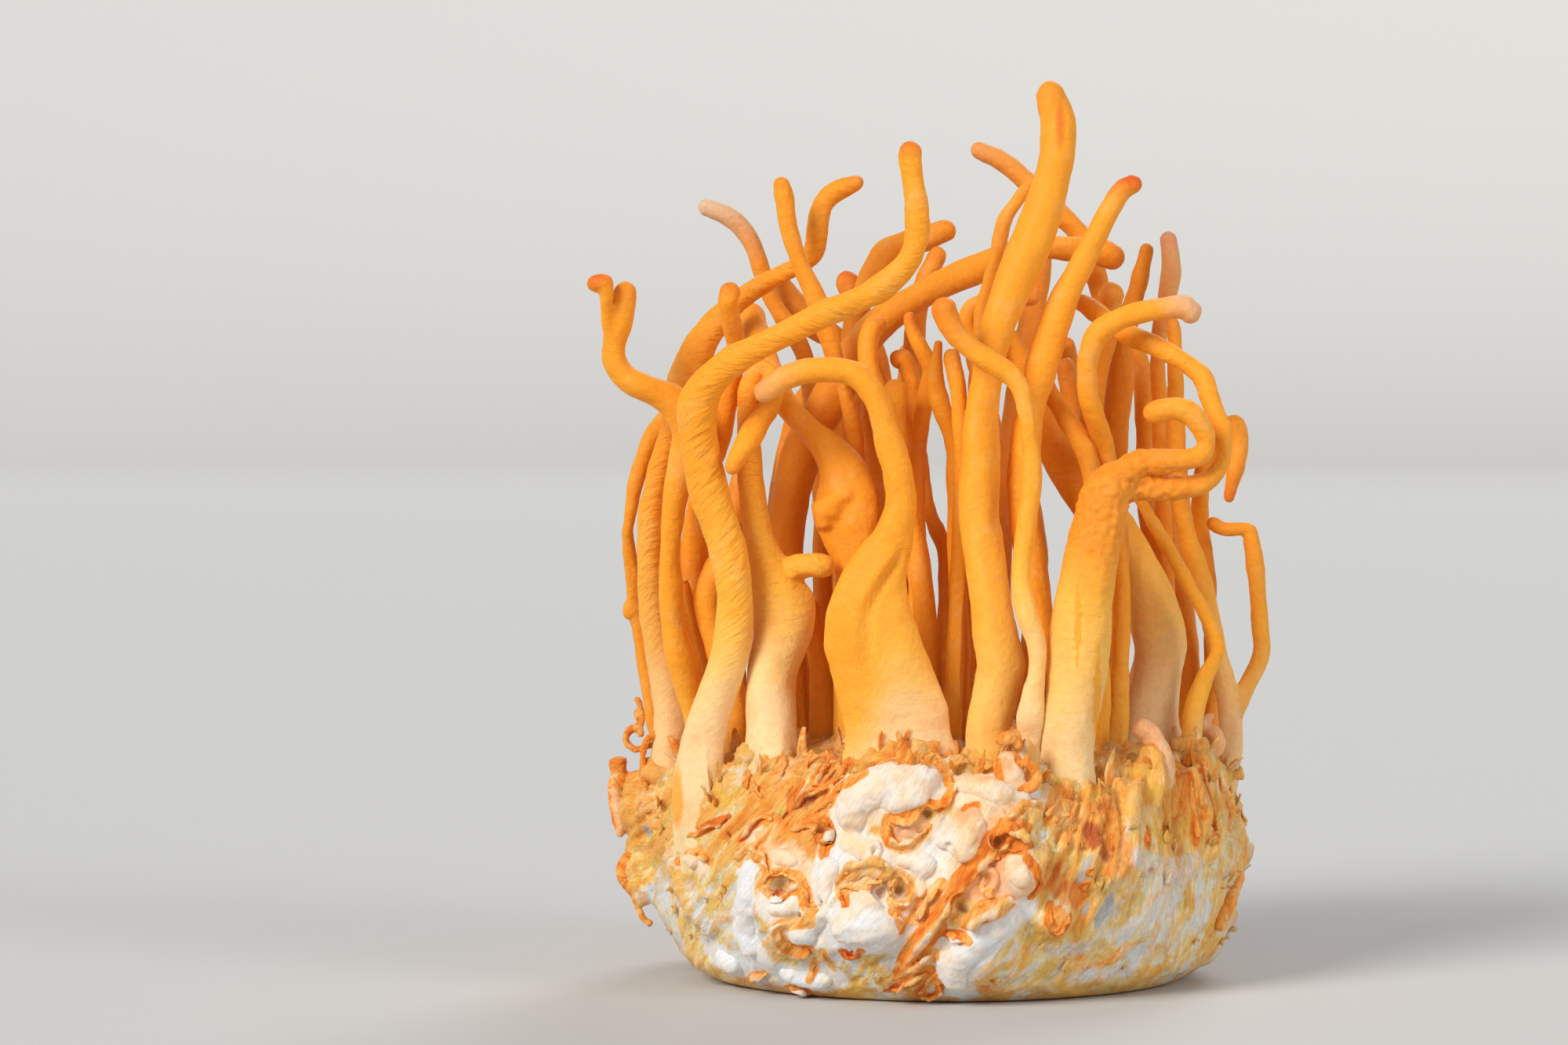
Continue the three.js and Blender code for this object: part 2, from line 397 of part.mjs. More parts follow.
// A place on the upright sheet, pushed back along the line of sight to its depth
function place([across, up, depth]) {
  const sheet = new THREE.Vector3(across, 0, up);
  return sheet.sub(EYE).multiplyScalar(1 - depth / EYE.y).add(EYE);
}

// A round-tipped club along its points: a lathed spindle whose rings are carried onto the curve
function clubSolid(points, grow = 0) {
  const curve = new THREE.CatmullRomCurve3(points.map(place), false, "centripetal");
  const sizes = new THREE.CatmullRomCurve3(
    points.map(([, , depth, radius, flatness = 1]) => {
      return new THREE.Vector3(radius * (1 - depth / EYE.y) + grow, flatness, 0);
    }),
    false,
    "catmullrom",
    0,
  );
  const widest = Math.max(...points.map((point) => point[3]));
  const sides = 5 + (widest > SIX_SIDES_FROM) + (widest > SEVEN_SIDES_FROM);
  const rings = ringPlaces(points);
  const size = (at) => sizes.getPoint(at);
  const profile = [new THREE.Vector2(0, 0)];
  rings.forEach((at, i) => profile.push(new THREE.Vector2(size(at).x, i + 1)));
  const tip = size(1).x;
  TIP_ROUNDING.forEach((share, i) => {
    profile.push(new THREE.Vector2(tip * Math.sqrt(1 - share ** 2), rings.length + 1 + i));
  });
  profile.push(new THREE.Vector2(0, rings.length + 1 + TIP_ROUNDING.length));
  const spindle = new THREE.LatheGeometry(profile, sides);
  const position = spindle.attributes.position;
  for (let i = 0; i < position.count; i++) {
    const row = Math.round(position.getY(i));
    const past = row - rings.length;
    const at = rings[THREE.MathUtils.clamp(row - 1, 0, rings.length - 1)];
    const forward = curve.getTangent(at);
    const aside = new THREE.Vector3().crossVectors(forward, new THREE.Vector3(0, 1, 0)).normalize();
    const back = new THREE.Vector3().crossVectors(aside, forward);
    const ahead = past > 0 ? tip * [...TIP_ROUNDING, 1][past - 1] : 0;
    const rootEnd = row === 0 ? -grow : 0;
    const spot = curve.getPoint(at);
    spot.addScaledVector(forward, ahead + rootEnd - (row > 0 && row < rings.length ? 0 : tip));
    spot.addScaledVector(aside, position.getX(i));
    spot.addScaledVector(back, position.getZ(i) * size(at).y);
    position.setXYZ(i, spot.x, spot.y, spot.z);
  }
  return solidOf(spindle);
}

// One ring at each point, and more where two points are far apart
function ringPlaces(points) {
  const rings = [];
  for (let i = 0; i < points.length - 1; i++) {
    const length = place(points[i]).distanceTo(place(points[i + 1]));
    const steps = Math.max(1, Math.round(length / LONG_STEP));
    for (let step = 0; step < steps; step++) {
      rings.push((i + step / steps) / (points.length - 1));
    }
  }
  rings.push(1);
  return rings;
}

// The cake's outline as points of [radius, height]
function cakeOutline() {
  return CAKE_OUTLINE.map(([inward, height]) => new THREE.Vector2(CAKE_RADIUS - inward, height));
}

// The cake's radius at a height of its wall
function wallRadius(height) {
  const wall = cakeOutline().slice(WALL_START, WALL_END);
  const above = wall.findIndex((point) => point.y >= height);
  if (above < 1) {
    return above === 0 ? wall[0].x : wall[wall.length - 1].x;
  }
  const share = (height - wall[above - 1].y) / (wall[above].y - wall[above - 1].y);
  return THREE.MathUtils.lerp(wall[above - 1].x, wall[above].x, share);
}

// A point of the wall: turn in degrees from the front, positive to the right, seen from above
function onWall(turn, height, stand = 0) {
  const angle = THREE.MathUtils.degToRad(turn);
  const radius = wallRadius(height) + stand;
  return new THREE.Vector3(CAKE_OFFSET_X + radius * Math.sin(angle), -radius * Math.cos(angle), height);
}

// How far the cake's surface swells out at a place, in millimetres
function swelling(angle, height) {
  const wave = ([around, climb, start, share]) => share * Math.sin(around * angle + climb * height + start);
  return CAKE_LUMPINESS * WAVES.reduce((sum, row) => sum + wave(row), 0);
}

// The body of the cake, larger all round by grow
function cakeBody(grow) {
  const body = new THREE.LatheGeometry(cakeOutline(), CAKE_SECTORS);
  const position = body.attributes.position;
  const normal = body.attributes.normal;
  for (let i = 0; i < position.count; i++) {
    const height = position.getY(i);
    const angle = Math.atan2(position.getX(i), position.getZ(i));
    const axial = Math.hypot(position.getX(i), position.getZ(i)) < ON_AXIS;
    const out = grow + (height > ON_BASE && !axial ? swelling(angle, height) : 0);
    const nx = axial ? 0 : normal.getX(i);
    const nz = axial ? 0 : normal.getZ(i);
    const rise = axial ? 1 : normal.getY(i);
    position.setXYZ(
      i,
      position.getX(i) + out * nx + CAKE_OFFSET_X,
      -(position.getZ(i) + out * nz),
      height < ON_BASE ? -grow : height + out * rise,
    );
  }
  return solidOf(body);
}

// A lump on the wall
function lumpSolid([turn, height, halfWidth, halfHeight, thickness, stand], grow) {
  const ball = new THREE.OctahedronGeometry(1, 1);
  ball.scale(halfWidth + grow, thickness + grow, halfHeight + grow);
  ball.rotateZ(THREE.MathUtils.degToRad(turn));
  const centre = onWall(turn, height, stand - thickness / 2);
  ball.translate(centre.x, centre.y, centre.z);
  return solidOf(ball);
}

// A ridge along the wall: a five-sided worm that is half sunk in it
function ridgeSolid(points, grow) {
  const curve = new THREE.CatmullRomCurve3(points.map(([turn, height]) => onWall(turn, height, RIDGE_STAND)));
  const last = points.length - 1;
  const profile = [new THREE.Vector2(0, -1)];
  points.forEach((point, i) => profile.push(new THREE.Vector2(point[2] + grow, i)));
  profile.push(new THREE.Vector2(0, last + 1));
  const worm = new THREE.LatheGeometry(profile, RIDGE_SIDES);
  const position = worm.attributes.position;
  for (let i = 0; i < position.count; i++) {
    const along = position.getY(i) / last;
    const at = THREE.MathUtils.clamp(along, 0, 1);
    const forward = curve.getTangent(at);
    const spot = curve.getPoint(at).addScaledVector(forward, Math.sign(along - at) * RIDGE_TAPER);
    const outward = new THREE.Vector3(spot.x, spot.y, 0).normalize();
    const aside = new THREE.Vector3().crossVectors(outward, forward).normalize();
    const back = new THREE.Vector3().crossVectors(aside, forward);
    spot.addScaledVector(aside, position.getX(i));
    spot.addScaledVector(back, position.getZ(i));
    position.setXYZ(i, spot.x, spot.y, spot.z);
  }
  return solidOf(worm);
}

// A pointed tuft on the rim
function tuftSolid([turn, distance, height, lean], grow) {
  const angle = THREE.MathUtils.degToRad(turn);
  const spike = new THREE.ConeGeometry(TUFT_RADIUS + grow, height + TUFT_ROOT + grow, 4);
  spike.rotateX(Math.PI / 2);
  spike.translate(0, 0, (height + grow - TUFT_ROOT) / 2);
  spike.rotateX(lean);
  spike.rotateZ(angle);
  const foot = CAKE_RIM_HEIGHT + TUFT_START;
  spike.translate(CAKE_OFFSET_X + distance * Math.sin(angle), -distance * Math.cos(angle), foot);
  return solidOf(spike);
}

// The whole cake with its skin, larger all round by grow
function cakeSolid(grow = 0) {
  let cake = cakeBody(grow);
  for (const lump of LUMPS) {
    cake = cake.add(lumpSolid(lump, grow));
  }
  for (const ridge of RIDGES) {
    cake = cake.add(ridgeSolid(ridge, grow));
  }
  for (const tuft of TUFTS) {
    cake = cake.add(tuftSolid(tuft, grow));
  }
  return largest(cake);
}

// A solid as a named mesh with its own material
function meshOf(solid, name, finish) {
  const { numProp, vertProperties, triVerts } = solid.getMesh();
  const geometry = new THREE.BufferGeometry();
  const corners = new Float32Array((vertProperties.length / numProp) * 3);
  for (let i = 0; i < corners.length / 3; i++) {
    corners.set(vertProperties.subarray(i * numProp, i * numProp + 3), i * 3);
  }
  geometry.setAttribute("position", new THREE.BufferAttribute(corners, 3));
  geometry.setIndex(new THREE.BufferAttribute(triVerts, 1));
  geometry.computeVertexNormals();
  const mesh = new THREE.Mesh(geometry, new THREE.MeshStandardMaterial(finish));
  mesh.name = name;
  return mesh;
}

const fungus = new THREE.Group();
fungus.add(meshOf(cakeSolid(), "cake", SKIN));

// Each club ends where the cake's surface begins, and each branch where its stem does
const cakeWithGap = cakeSolid(GAP);
for (const [name, points] of Object.entries(CLUBS)) {
  let club = clubSolid(points);
  if (SIDE_GROWTHS[name]) {
    club = club.add(clubSolid(SIDE_GROWTHS[name]));
  }
  fungus.add(meshOf(largest(club.subtract(cakeWithGap)), name, FLESH));
}
const borne = {};
for (const [name, { on, points }] of Object.entries(BRANCHES)) {
  let branch = clubSolid(points);
  for (const neighbour of [CLUBS[on], ...(borne[on] ?? [])]) {
    branch = branch.subtract(clubSolid(neighbour, GAP));
  }
  borne[on] = [...(borne[on] ?? []), points];
  fungus.add(meshOf(largest(branch), name, FLESH));
}

export default fungus;
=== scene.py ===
# %% [markdown]
# # An orange club fungus on its grain cake
# The real thing is grown, not made: a round cake of cooked grain is bound together by the white and
# orange threads of the fungus, and dozens of soft orange clubs rise from it and bend over one another.
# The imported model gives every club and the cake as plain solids, in metres, with +Z up and -Y in front.
# This script keeps their places and gives each of them its real skin.

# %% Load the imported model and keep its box
import heapq
import math
import random
import bpy
import numpy as np
from mathutils import Matrix, Vector, noise
from mathutils.bvhtree import BVHTree
from mathutils.kdtree import KDTree


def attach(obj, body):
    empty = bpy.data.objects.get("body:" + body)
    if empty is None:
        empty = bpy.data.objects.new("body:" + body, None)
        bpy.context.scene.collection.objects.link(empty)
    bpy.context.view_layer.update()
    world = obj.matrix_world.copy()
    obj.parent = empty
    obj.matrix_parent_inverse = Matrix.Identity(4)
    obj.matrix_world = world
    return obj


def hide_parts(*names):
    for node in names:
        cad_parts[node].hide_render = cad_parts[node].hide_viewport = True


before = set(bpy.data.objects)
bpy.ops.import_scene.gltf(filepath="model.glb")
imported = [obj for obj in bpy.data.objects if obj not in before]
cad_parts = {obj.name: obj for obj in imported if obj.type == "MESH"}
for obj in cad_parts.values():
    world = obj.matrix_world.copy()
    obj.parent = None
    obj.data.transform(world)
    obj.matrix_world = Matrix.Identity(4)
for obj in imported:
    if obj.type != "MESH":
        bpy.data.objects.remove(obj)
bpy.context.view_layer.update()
MM = 0.001
clubs = sorted(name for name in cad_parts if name.startswith("club_"))


# %% [markdown]
# ## Camera
# The photograph was taken from far away with a long lens, almost level. From 560 mm a lens of 126 mm on a
# sensor of 36 mm frames 160 mm. The camera looks 2 degrees down at a point left of the fungus's middle.

# %% Place the camera
EYE = Vector((-16.0, -559.7, 65.8)) * MM
LOOK_AT = Vector((-16.0, 0.0, 46.3)) * MM
LENS = 126.0
SENSOR_WIDTH = 36.0

scene = bpy.context.scene


def new_object(name, data):
    made = bpy.data.objects.new(name, data)
    scene.collection.objects.link(made)
    return made


def aimed(here, there):
    """The turn of a camera or lamp that stands here and looks there."""
    return (there - here).to_track_quat("-Z", "Y").to_euler()


camera = new_object("camera", bpy.data.cameras.new("camera"))
camera.location = EYE
camera.rotation_euler = aimed(EYE, LOOK_AT)
camera.data.sensor_width = SENSOR_WIDTH
camera.data.lens = LENS
camera.data.clip_start = 0.01
scene.camera = camera
scene.view_settings.view_transform = "Standard"
print("camera", round((LOOK_AT - EYE).length / MM), "mm away")

# %% [markdown]
# ## Light, floor and backdrop
# Soft studio light: a wide lamp high on the left, a weaker one on the right, one above and behind for a
# bright edge on the clubs, and a pale world that fills the shadows. Each lamp is a sun that is many degrees
# wide, so its shadows are as soft as those of a large panel, and it falls evenly all over the floor.

# %% Set the lights
LAMP_WIDTH = math.radians(26)
LAMPS_AIM = Vector((0, 0, 45 * MM))
WORLD_COLOUR = (0.86, 0.88, 0.92, 1)
WORLD_STRENGTH = 0.36


def lamp(name, from_mm, strength, colour):
    light = bpy.data.lights.new(name, "SUN")
    light.angle = LAMP_WIDTH
    light.energy = strength
    light.color = colour
    holder = new_object(name, light)
    holder.location = Vector(from_mm) * MM
    holder.rotation_euler = aimed(holder.location, LAMPS_AIM)


lamp("key_lamp", (-360, -400, 360), 2.7, (1.0, 0.98, 0.95))
lamp("fill_lamp", (420, -300, 250), 0.9, (0.98, 0.98, 1.0))
lamp("edge_lamp", (160, 380, 360), 1.0, (0.95, 0.97, 1.0))

world = bpy.data.worlds.new("studio")
world.use_nodes = True
glow = world.node_tree.nodes["Background"].inputs
glow["Color"].default_value = WORLD_COLOUR
glow["Strength"].default_value = WORLD_STRENGTH
scene.world = world
print("three lamps and a pale world")

# %% [markdown]
# The floor is a round pale sheet that curves up all round, far behind the camera and the fungus, so that no
# horizon shows. A disc is added and its edge is extruded in short steps, each a little steeper and wider.

# %% Lay the floor and its backdrop
FLOOR_RADIUS = 2.2
DISC_RADIUS = 0.96 * FLOOR_RADIUS
SWEEP_RADIUS = 0.7
SWEEP_STEPS = 12
SWEEP_ANGLE = math.radians(84)

bpy.ops.mesh.primitive_circle_add(vertices=96, radius=DISC_RADIUS, fill_type="NGON")
floor = bpy.context.object
floor.name = "floor"
bpy.ops.object.mode_set(mode="EDIT")
bpy.ops.mesh.select_mode(type="EDGE")
bpy.ops.mesh.select_all(action="DESELECT")
bpy.ops.mesh.select_non_manifold()
reach, height = DISC_RADIUS, 0.0
for step in range(SWEEP_STEPS + 1):
    angle = SWEEP_ANGLE * step / SWEEP_STEPS
    wider = FLOOR_RADIUS + SWEEP_RADIUS * math.sin(angle)
    higher = SWEEP_RADIUS * (1 - math.cos(angle))
    bpy.ops.mesh.extrude_edges_move(TRANSFORM_OT_translate={"value": (0, 0, higher - height)})
    bpy.ops.transform.resize(value=(wider / reach, wider / reach, 1))
    reach, height = wider, higher
bpy.ops.mesh.select_mode(type="VERT")
bpy.ops.object.mode_set(mode="OBJECT")
bpy.ops.object.shade_smooth()
print("floor", len(floor.data.polygons), "faces, backdrop", round(height, 2), "m high")

# %% [markdown]
# ## Finishes
# A finish is a small tree of nodes. Two helpers are enough for it: one turns a hex colour, as a paint chart
# gives it, into the linear numbers that a shader works with, and one adds a node with its settings and links.
# The settings that come back often have a name.

# %% Helpers for the finishes
SMOOTH = {"interpolation_type": "SMOOTHSTEP"}
TIMES = {"operation": "MULTIPLY"}
PLUS = {"operation": "ADD"}
TIMES_PLUS = {"operation": "MULTIPLY_ADD"}
COLOURS = {"data_type": "RGBA"}
TINTED = {"data_type": "RGBA", "blend_type": "MULTIPLY"}


def paint(value):
    """The linear numbers of a hex colour; a value that is no colour stays as it is."""
    if not isinstance(value, str):
        return value
    parts = [int(value[i:i + 2], 16) / 255 for i in (1, 3, 5)]
    linear = [c / 12.92 if c <= 0.04045 else ((c + 0.055) / 1.055) ** 2.4 for c in parts]
    return (*linear, 1.0)


def add(tree, kind, out, settings=None, **links):
    """Adds a node and returns its output out. Settings are the node's own properties, or the stops of a ramp;
    links are inputs by name, or by number as i0, i6, with a plain value or another node's output."""
    made = tree.nodes.new("ShaderNode" + kind)
    for key, value in (settings or {}).items():
        if key == "stops":
            marks = made.color_ramp.elements
            while len(marks) < len(value):
                marks.new(0.5)
            for stop, (place, shade) in zip(marks, value):
                stop.position = place
                stop.color = paint(shade) if isinstance(shade, str) else (shade, shade, shade, 1.0)
        else:
            setattr(made, key, value)
    for key, value in links.items():
        place = int(key[1:]) if key[0] == "i" and key[1:].isdigit() else key.replace("_", " ")
        if isinstance(value, bpy.types.NodeSocket):
            tree.links.new(value, made.inputs[place])
        else:
            made.inputs[place].default_value = paint(value)
    return made.outputs[out]


def new_finish(name, plain):
    """A finish whose plain values, the same all over, go straight onto the shader."""
    finish = bpy.data.materials.new(name)
    finish.use_nodes = True
    shader = finish.node_tree.nodes["Principled BSDF"]
    for key, value in plain.items():
        shader.inputs[key].default_value = paint(value)
    return finish, finish.node_tree, shader


backdrop, _, _ = new_finish("matt_paper_backdrop", {"Base Color": "#C9C8C5", "Roughness": 0.9})
floor.data.materials.append(backdrop)
print("floor finish", backdrop.name)

# %% [markdown]
# ## The flesh of the clubs
# Fungus flesh is a mat of fine threads full of water. Light goes a millimetre or two into it, red furthest,
# and the loose threads outside give a dull, slightly velvety skin, which Sheen gives as a pale edge. A club
# is cream where it leaves the cake, apricot along its length and orange at its growing tip. Numbers stored on
# the mesh say where a point is on its club and what marks it there, and clubs further back in the bunch get
# a darker ramp as painted shade.
# The patterns, from large to small: the tone drifts over about 11 mm, blotches are about 4 mm, the cross
# wrinkles of a bent club are about 0.6 mm apart, and the nap of the threads is drawn at 0.6 mm, coarser than
# the real 0.05 mm, so that it shows.

# %% Begin the finish of the clubs with its patterns
DRIFT_MM = 11
BLOTCH_MM = 4
NAP_MM = 0.6
RINGS_PER_MM = 1.6
RING_SCALE = 1 / (2.4 * MM)
CREAM_UNTIL_MM, RIPE_FROM_MM = 10.0, 44.0
DRIFT_REACH_MM = 16.0
CLUB_NUMBERS = ("from_root_mm", "tone", "blush", "bloom", "stain", "wrinkled")

flesh, tree, shader = new_finish("fungus_flesh_orange", {
    "Roughness": 0.62, "IOR": 1.38, "Subsurface Weight": 0.3, "Subsurface Radius": (1.0, 0.5, 0.2),
    "Subsurface Scale": 1.4 * MM, "Sheen Weight": 0.14, "Sheen Roughness": 0.35, "Sheen Tint": "#F3D2B4"})
spot = add(tree, "TexCoord", "Object")
told = {name: add(tree, "Attribute", "Fac", {"attribute_name": name}) for name in CLUB_NUMBERS}
drift = add(tree, "TexNoise", "Fac", Vector=spot, Scale=1 / (DRIFT_MM * MM), Detail=3.0)
blotch = add(tree, "TexNoise", "Fac", Vector=spot, Scale=1 / (BLOTCH_MM * MM), Detail=5.0, Roughness=0.62)
nap = add(tree, "TexNoise", "Fac", Vector=spot, Scale=1 / (NAP_MM * MM), Detail=3.0, Roughness=0.6)
along = add(tree, "Math", 0, TIMES, i0=told["from_root_mm"], i1=RINGS_PER_MM / RING_SCALE)
rings = add(tree, "TexNoise", "Fac", {"noise_dimensions": "4D"}, Vector=spot, W=along, Scale=RING_SCALE,
            Detail=2.0)
print("patterns of", flesh.name)

# %% Colour the clubs
uneven = add(tree, "Math", 0, TIMES_PLUS, i0=drift, i1=DRIFT_REACH_MM, i2=told["from_root_mm"])
ripe = add(tree, "MapRange", 0, SMOOTH, Value=uneven, From_Min=CREAM_UNTIL_MM, From_Max=RIPE_FROM_MM)
front = add(tree, "ValToRGB", 0, {"stops": [
    (0.0, "#F8D6A0"), (0.3, "#FBC364"), (0.6, "#FDB63A"), (1.0, "#FBA422")]}, Fac=ripe)
# The second ramp is painted shade: clubs that stand further back in the bunch are coloured darker.
shaded_ramp = add(tree, "ValToRGB", 0, {"stops": [
    (0.0, "#E9A650"), (0.3, "#E59435"), (0.6, "#E58D22"), (1.0, "#E2861A")]}, Fac=ripe)
colour = add(tree, "Mix", 2, COLOURS, i0=told["tone"], i6=front, i7=shaded_ramp)

darker = add(tree, "MapRange", 0, Value=blotch, From_Min=0.5, From_Max=0.7, To_Max=0.28)
paler = add(tree, "MapRange", 0, Value=blotch, From_Min=0.46, From_Max=0.28, To_Max=0.25)
torn = add(tree, "Math", 0, TIMES_PLUS, i0=blotch, i1=0.9, i2=told["stain"])
stained = add(tree, "MapRange", 0, Value=torn, From_Min=0.72, From_Max=1.15, To_Max=0.85)
for share, over in ((darker, "#F0901E"), (paler, "#FBCD8A"), (stained, "#F2A21C"),
                    (told["blush"], "#DB5F12"), (told["bloom"], "#D8BC9E")):
    colour = add(tree, "Mix", 2, COLOURS, i0=share, i6=colour, i7=over)
napped = add(tree, "ValToRGB", 0, {"stops": [(0.3, 0.92), (0.7, 1.02)]}, Fac=nap)
colour = add(tree, "Mix", 2, TINTED, i0=1.0, i6=colour, i7=napped)
tree.links.new(colour, shader.inputs["Base Color"])

crossed = add(tree, "Math", 0, TIMES, i0=rings, i1=told["wrinkled"])
relief = add(tree, "Math", 0, TIMES_PLUS, i0=nap, i1=0.2, i2=crossed)
bump = add(tree, "Bump", 0, Height=relief, Strength=0.8, Distance=0.7 * MM)
tree.links.new(bump, shader.inputs["Normal"])
print("finish", flesh.name, "with", len(tree.nodes), "nodes")

# %% [markdown]
# ## The clubs
# Each club's solid is a coarse cage: rings of five to seven corners along a curve. A copy of it, with its
# loose triangles merged back into four-sided faces, is just what Subdivision Surface needs. The modifier
# pulls a surface inwards from its cage, so the cage is first pushed out by as much as it will be pulled in,
# and the finished skin then passes through the solid's own corners.

# %% Helpers that select a piece and move its corners
def only(piece):
    bpy.ops.object.select_all(action="DESELECT")
    piece.select_set(True)
    bpy.context.view_layer.objects.active = piece


def edit_all(piece):
    """Opens a piece in edit mode with all of it selected."""
    only(piece)
    bpy.ops.object.mode_set(mode="EDIT")
    bpy.ops.mesh.select_all(action="SELECT")


def corners(mesh, what="co"):
    """The places of a mesh's corners, or their normals, as one array."""
    flat = np.zeros(len(mesh.vertices) * 3)
    mesh.vertices.foreach_get(what, flat)
    return flat.reshape(-1, 3)


def set_corners(mesh, places):
    mesh.vertices.foreach_set("co", places.ravel())
    mesh.update()


def swell(mesh, amounts_mm):
    """Moves each corner out along its normal."""
    set_corners(mesh, corners(mesh) + corners(mesh, "normal") * (amounts_mm * MM)[:, None])


def apply(piece, kind, **settings):
    only(piece)
    made = piece.modifiers.new(kind.title(), kind)
    for key, value in settings.items():
        setattr(made, key, value)
    bpy.ops.object.modifier_apply(modifier=made.name)


print("corner helpers ready")

# %% Helpers for copying and smoothing a cage
SAME_CORNER = 0.02 * MM
FLAT_ENOUGH = math.radians(50)
SQUARE_ENOUGH = math.radians(120)
PUSH_ROUNDS = 3


def copy_of(node, name):
    piece = new_object(name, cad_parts[node].data.copy())
    piece.data.materials.clear()
    edit_all(piece)
    bpy.ops.mesh.remove_doubles(threshold=SAME_CORNER)
    bpy.ops.mesh.tris_convert_to_quads(face_threshold=FLAT_ENOUGH, shape_threshold=SQUARE_ENOUGH)
    bpy.ops.object.mode_set(mode="OBJECT")
    return piece


def push_out(piece):
    """Moves each corner by what smoothing would take from it, so the smooth skin passes through it."""
    goal = corners(piece.data)
    modifier = piece.modifiers.new("Probe", "SUBSURF")
    modifier.levels = 2
    cage = goal.copy()
    for _ in range(PUSH_ROUNDS):
        set_corners(piece.data, cage)
        smooth = piece.evaluated_get(bpy.context.evaluated_depsgraph_get()).to_mesh()
        cage += goal - corners(smooth)[:len(goal)]
    set_corners(piece.data, cage)
    piece.modifiers.remove(modifier)


def tree_of(mesh):
    return BVHTree.FromPolygons([v.co for v in mesh.vertices], [face.vertices for face in mesh.polygons])


print("cage helpers ready")

# %% [markdown]
# A club's foot stops just short of the cake in the solids, and a branch just short of its stem. In the real
# thing they grow out of it, so the corners that face the host are moved a little way into it, and two front
# clubs reach down the cake's face. From there, the length along the club is measured over the cage's edges
# and stored on every corner.

# %% Helpers for feet
HOSTS = {
    "club_left_forked_hammer": "club_left_forked",
    "club_shoulder_curl": "club_shoulder",
    "club_shoulder_arm": "club_shoulder",
    "club_right_bracket": "club_right_fork",
}
LONG_FEET = {  # where the middle of the foot goes: across, up and depth in mm
    "club_front_left_hook": (-24.9, 15.4, -14.4),
    "club_shoulder": (13.4, 16.0, -23.4),
}
FOOT_DEPTH = 2.0 * MM
FOOT_FLARE = 1.15
HOST_REACH = 0.6 * MM
feet = {}


def in_sheet(across, up, depth):
    """The point that looks to be at (across, up) from the camera and lies depth behind the middle."""
    through = Vector((across, 0, up)) * MM
    return EYE + (through - EYE) * ((depth * MM - EYE.y) / (through.y - EYE.y))


def sink_foot(piece, node):
    """Moves the corners that face the host into it, and returns their numbers."""
    near = tree_of(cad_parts[HOSTS.get(node, "cake")].data)
    mesh = piece.data
    close = [near.find_nearest(v.co)[3] < HOST_REACH for v in mesh.vertices]
    inside = {i for face in mesh.polygons if all(close[i] for i in face.vertices) for i in face.vertices}
    foot = sorted(inside)
    above = {i for edge in mesh.edges for i in edge.vertices
             if len(inside & set(edge.vertices)) == 1 and i not in inside}
    places = corners(mesh)
    middle = places[foot].mean(axis=0)
    heading = middle - places[list(above)].mean(axis=0)
    heading /= np.linalg.norm(heading)
    radius = np.linalg.norm(places[foot] - middle, axis=1).mean()
    feet[node] = (Vector(middle), Vector(heading), radius)
    places[foot] = (places[foot] - middle) * FOOT_FLARE + middle + heading * FOOT_DEPTH
    if node in LONG_FEET:
        places[foot] += np.array(in_sheet(*LONG_FEET[node])) - places[foot].mean(axis=0)
    set_corners(mesh, places)
    return foot


print("branches that grow from a club:", len(HOSTS))

# %% Helpers for the length along a club
def lengths_from(mesh, starts):
    """The shortest way over the edges from the starting corners to every corner, in millimetres."""
    links = [[] for _ in mesh.vertices]
    for edge in mesh.edges:
        a, b = edge.vertices
        span = (mesh.vertices[a].co - mesh.vertices[b].co).length / MM
        links[a].append((b, span))
        links[b].append((a, span))
    way = [math.inf] * len(links)
    queue = [(0.0, i) for i in starts]
    for _, i in queue:
        way[i] = 0.0
    while queue:
        far, i = heapq.heappop(queue)
        if far > way[i]:
            continue
        for j, span in links[i]:
            if far + span < way[j]:
                way[j] = far + span
                heapq.heappush(queue, (way[j], j))
    return np.array([w if w < math.inf else 0.0 for w in way])


def store(mesh, name, values):
    if name in mesh.attributes:
        mesh.attributes.remove(mesh.attributes[name])
    mesh.attributes.new(name, "FLOAT", "POINT").data.foreach_set("value", np.asarray(values, float))


def fetch(mesh, name):
    values = np.zeros(len(mesh.vertices))
    mesh.attributes[name].data.foreach_get("value", values)
    return values


print("length helpers ready")

# %% [markdown]
# The solids end in a blunt cap: a last full ring, a smaller one, and a point. A real tip is a round dome, so
# after smoothing, what lies beyond the last full ring is moved onto a dome of that ring's radius. The point
# is the corner near the club's end whose neighbours all lie equally far from it.

# %% Helper for round tips
END_STRETCH_MM = 4.0
CAP_SPANS = (0.9, 1.1)
DOME_STRETCH = 0.12
DOME_BLEND = 0.5
DOME_REACH = 1.7


def tip_of(mesh, way):
    """The middle of the last full ring, the way that it faces, its radius, and how far it is from the tip."""
    around = [set() for _ in mesh.vertices]
    beside = [set() for _ in mesh.vertices]
    for face in mesh.polygons:
        for i in face.vertices:
            around[i].update(face.vertices)
    for edge in mesh.edges:
        for i, j in (edge.vertices, reversed(edge.vertices)):
            beside[i].add(j)
    places = corners(mesh)
    best = None
    for i in np.flatnonzero(way > way.max() - END_STRETCH_MM):
        far = np.linalg.norm(places[sorted(beside[i])] - places[i], axis=1)
        if len(far) > 2 and (best is None or far.std() / far.mean() < best[0]):
            best = (far.std() / far.mean(), int(i), far.mean())
    _, pole, span = best
    low, high = CAP_SPANS
    cap = {i for i in around[pole] if low < np.linalg.norm(places[i] - places[pole]) / span < high}
    last = sorted(set().union(*(around[i] for i in cap)) - cap - {pole})
    ring = places[last]
    middle = ring.mean(axis=0)
    forward = np.linalg.svd(ring - middle)[2][2]
    forward *= np.sign(forward @ (places[pole] - middle))
    return middle, forward, np.linalg.norm(ring - middle, axis=1).mean(), way.max() - way[last].min()


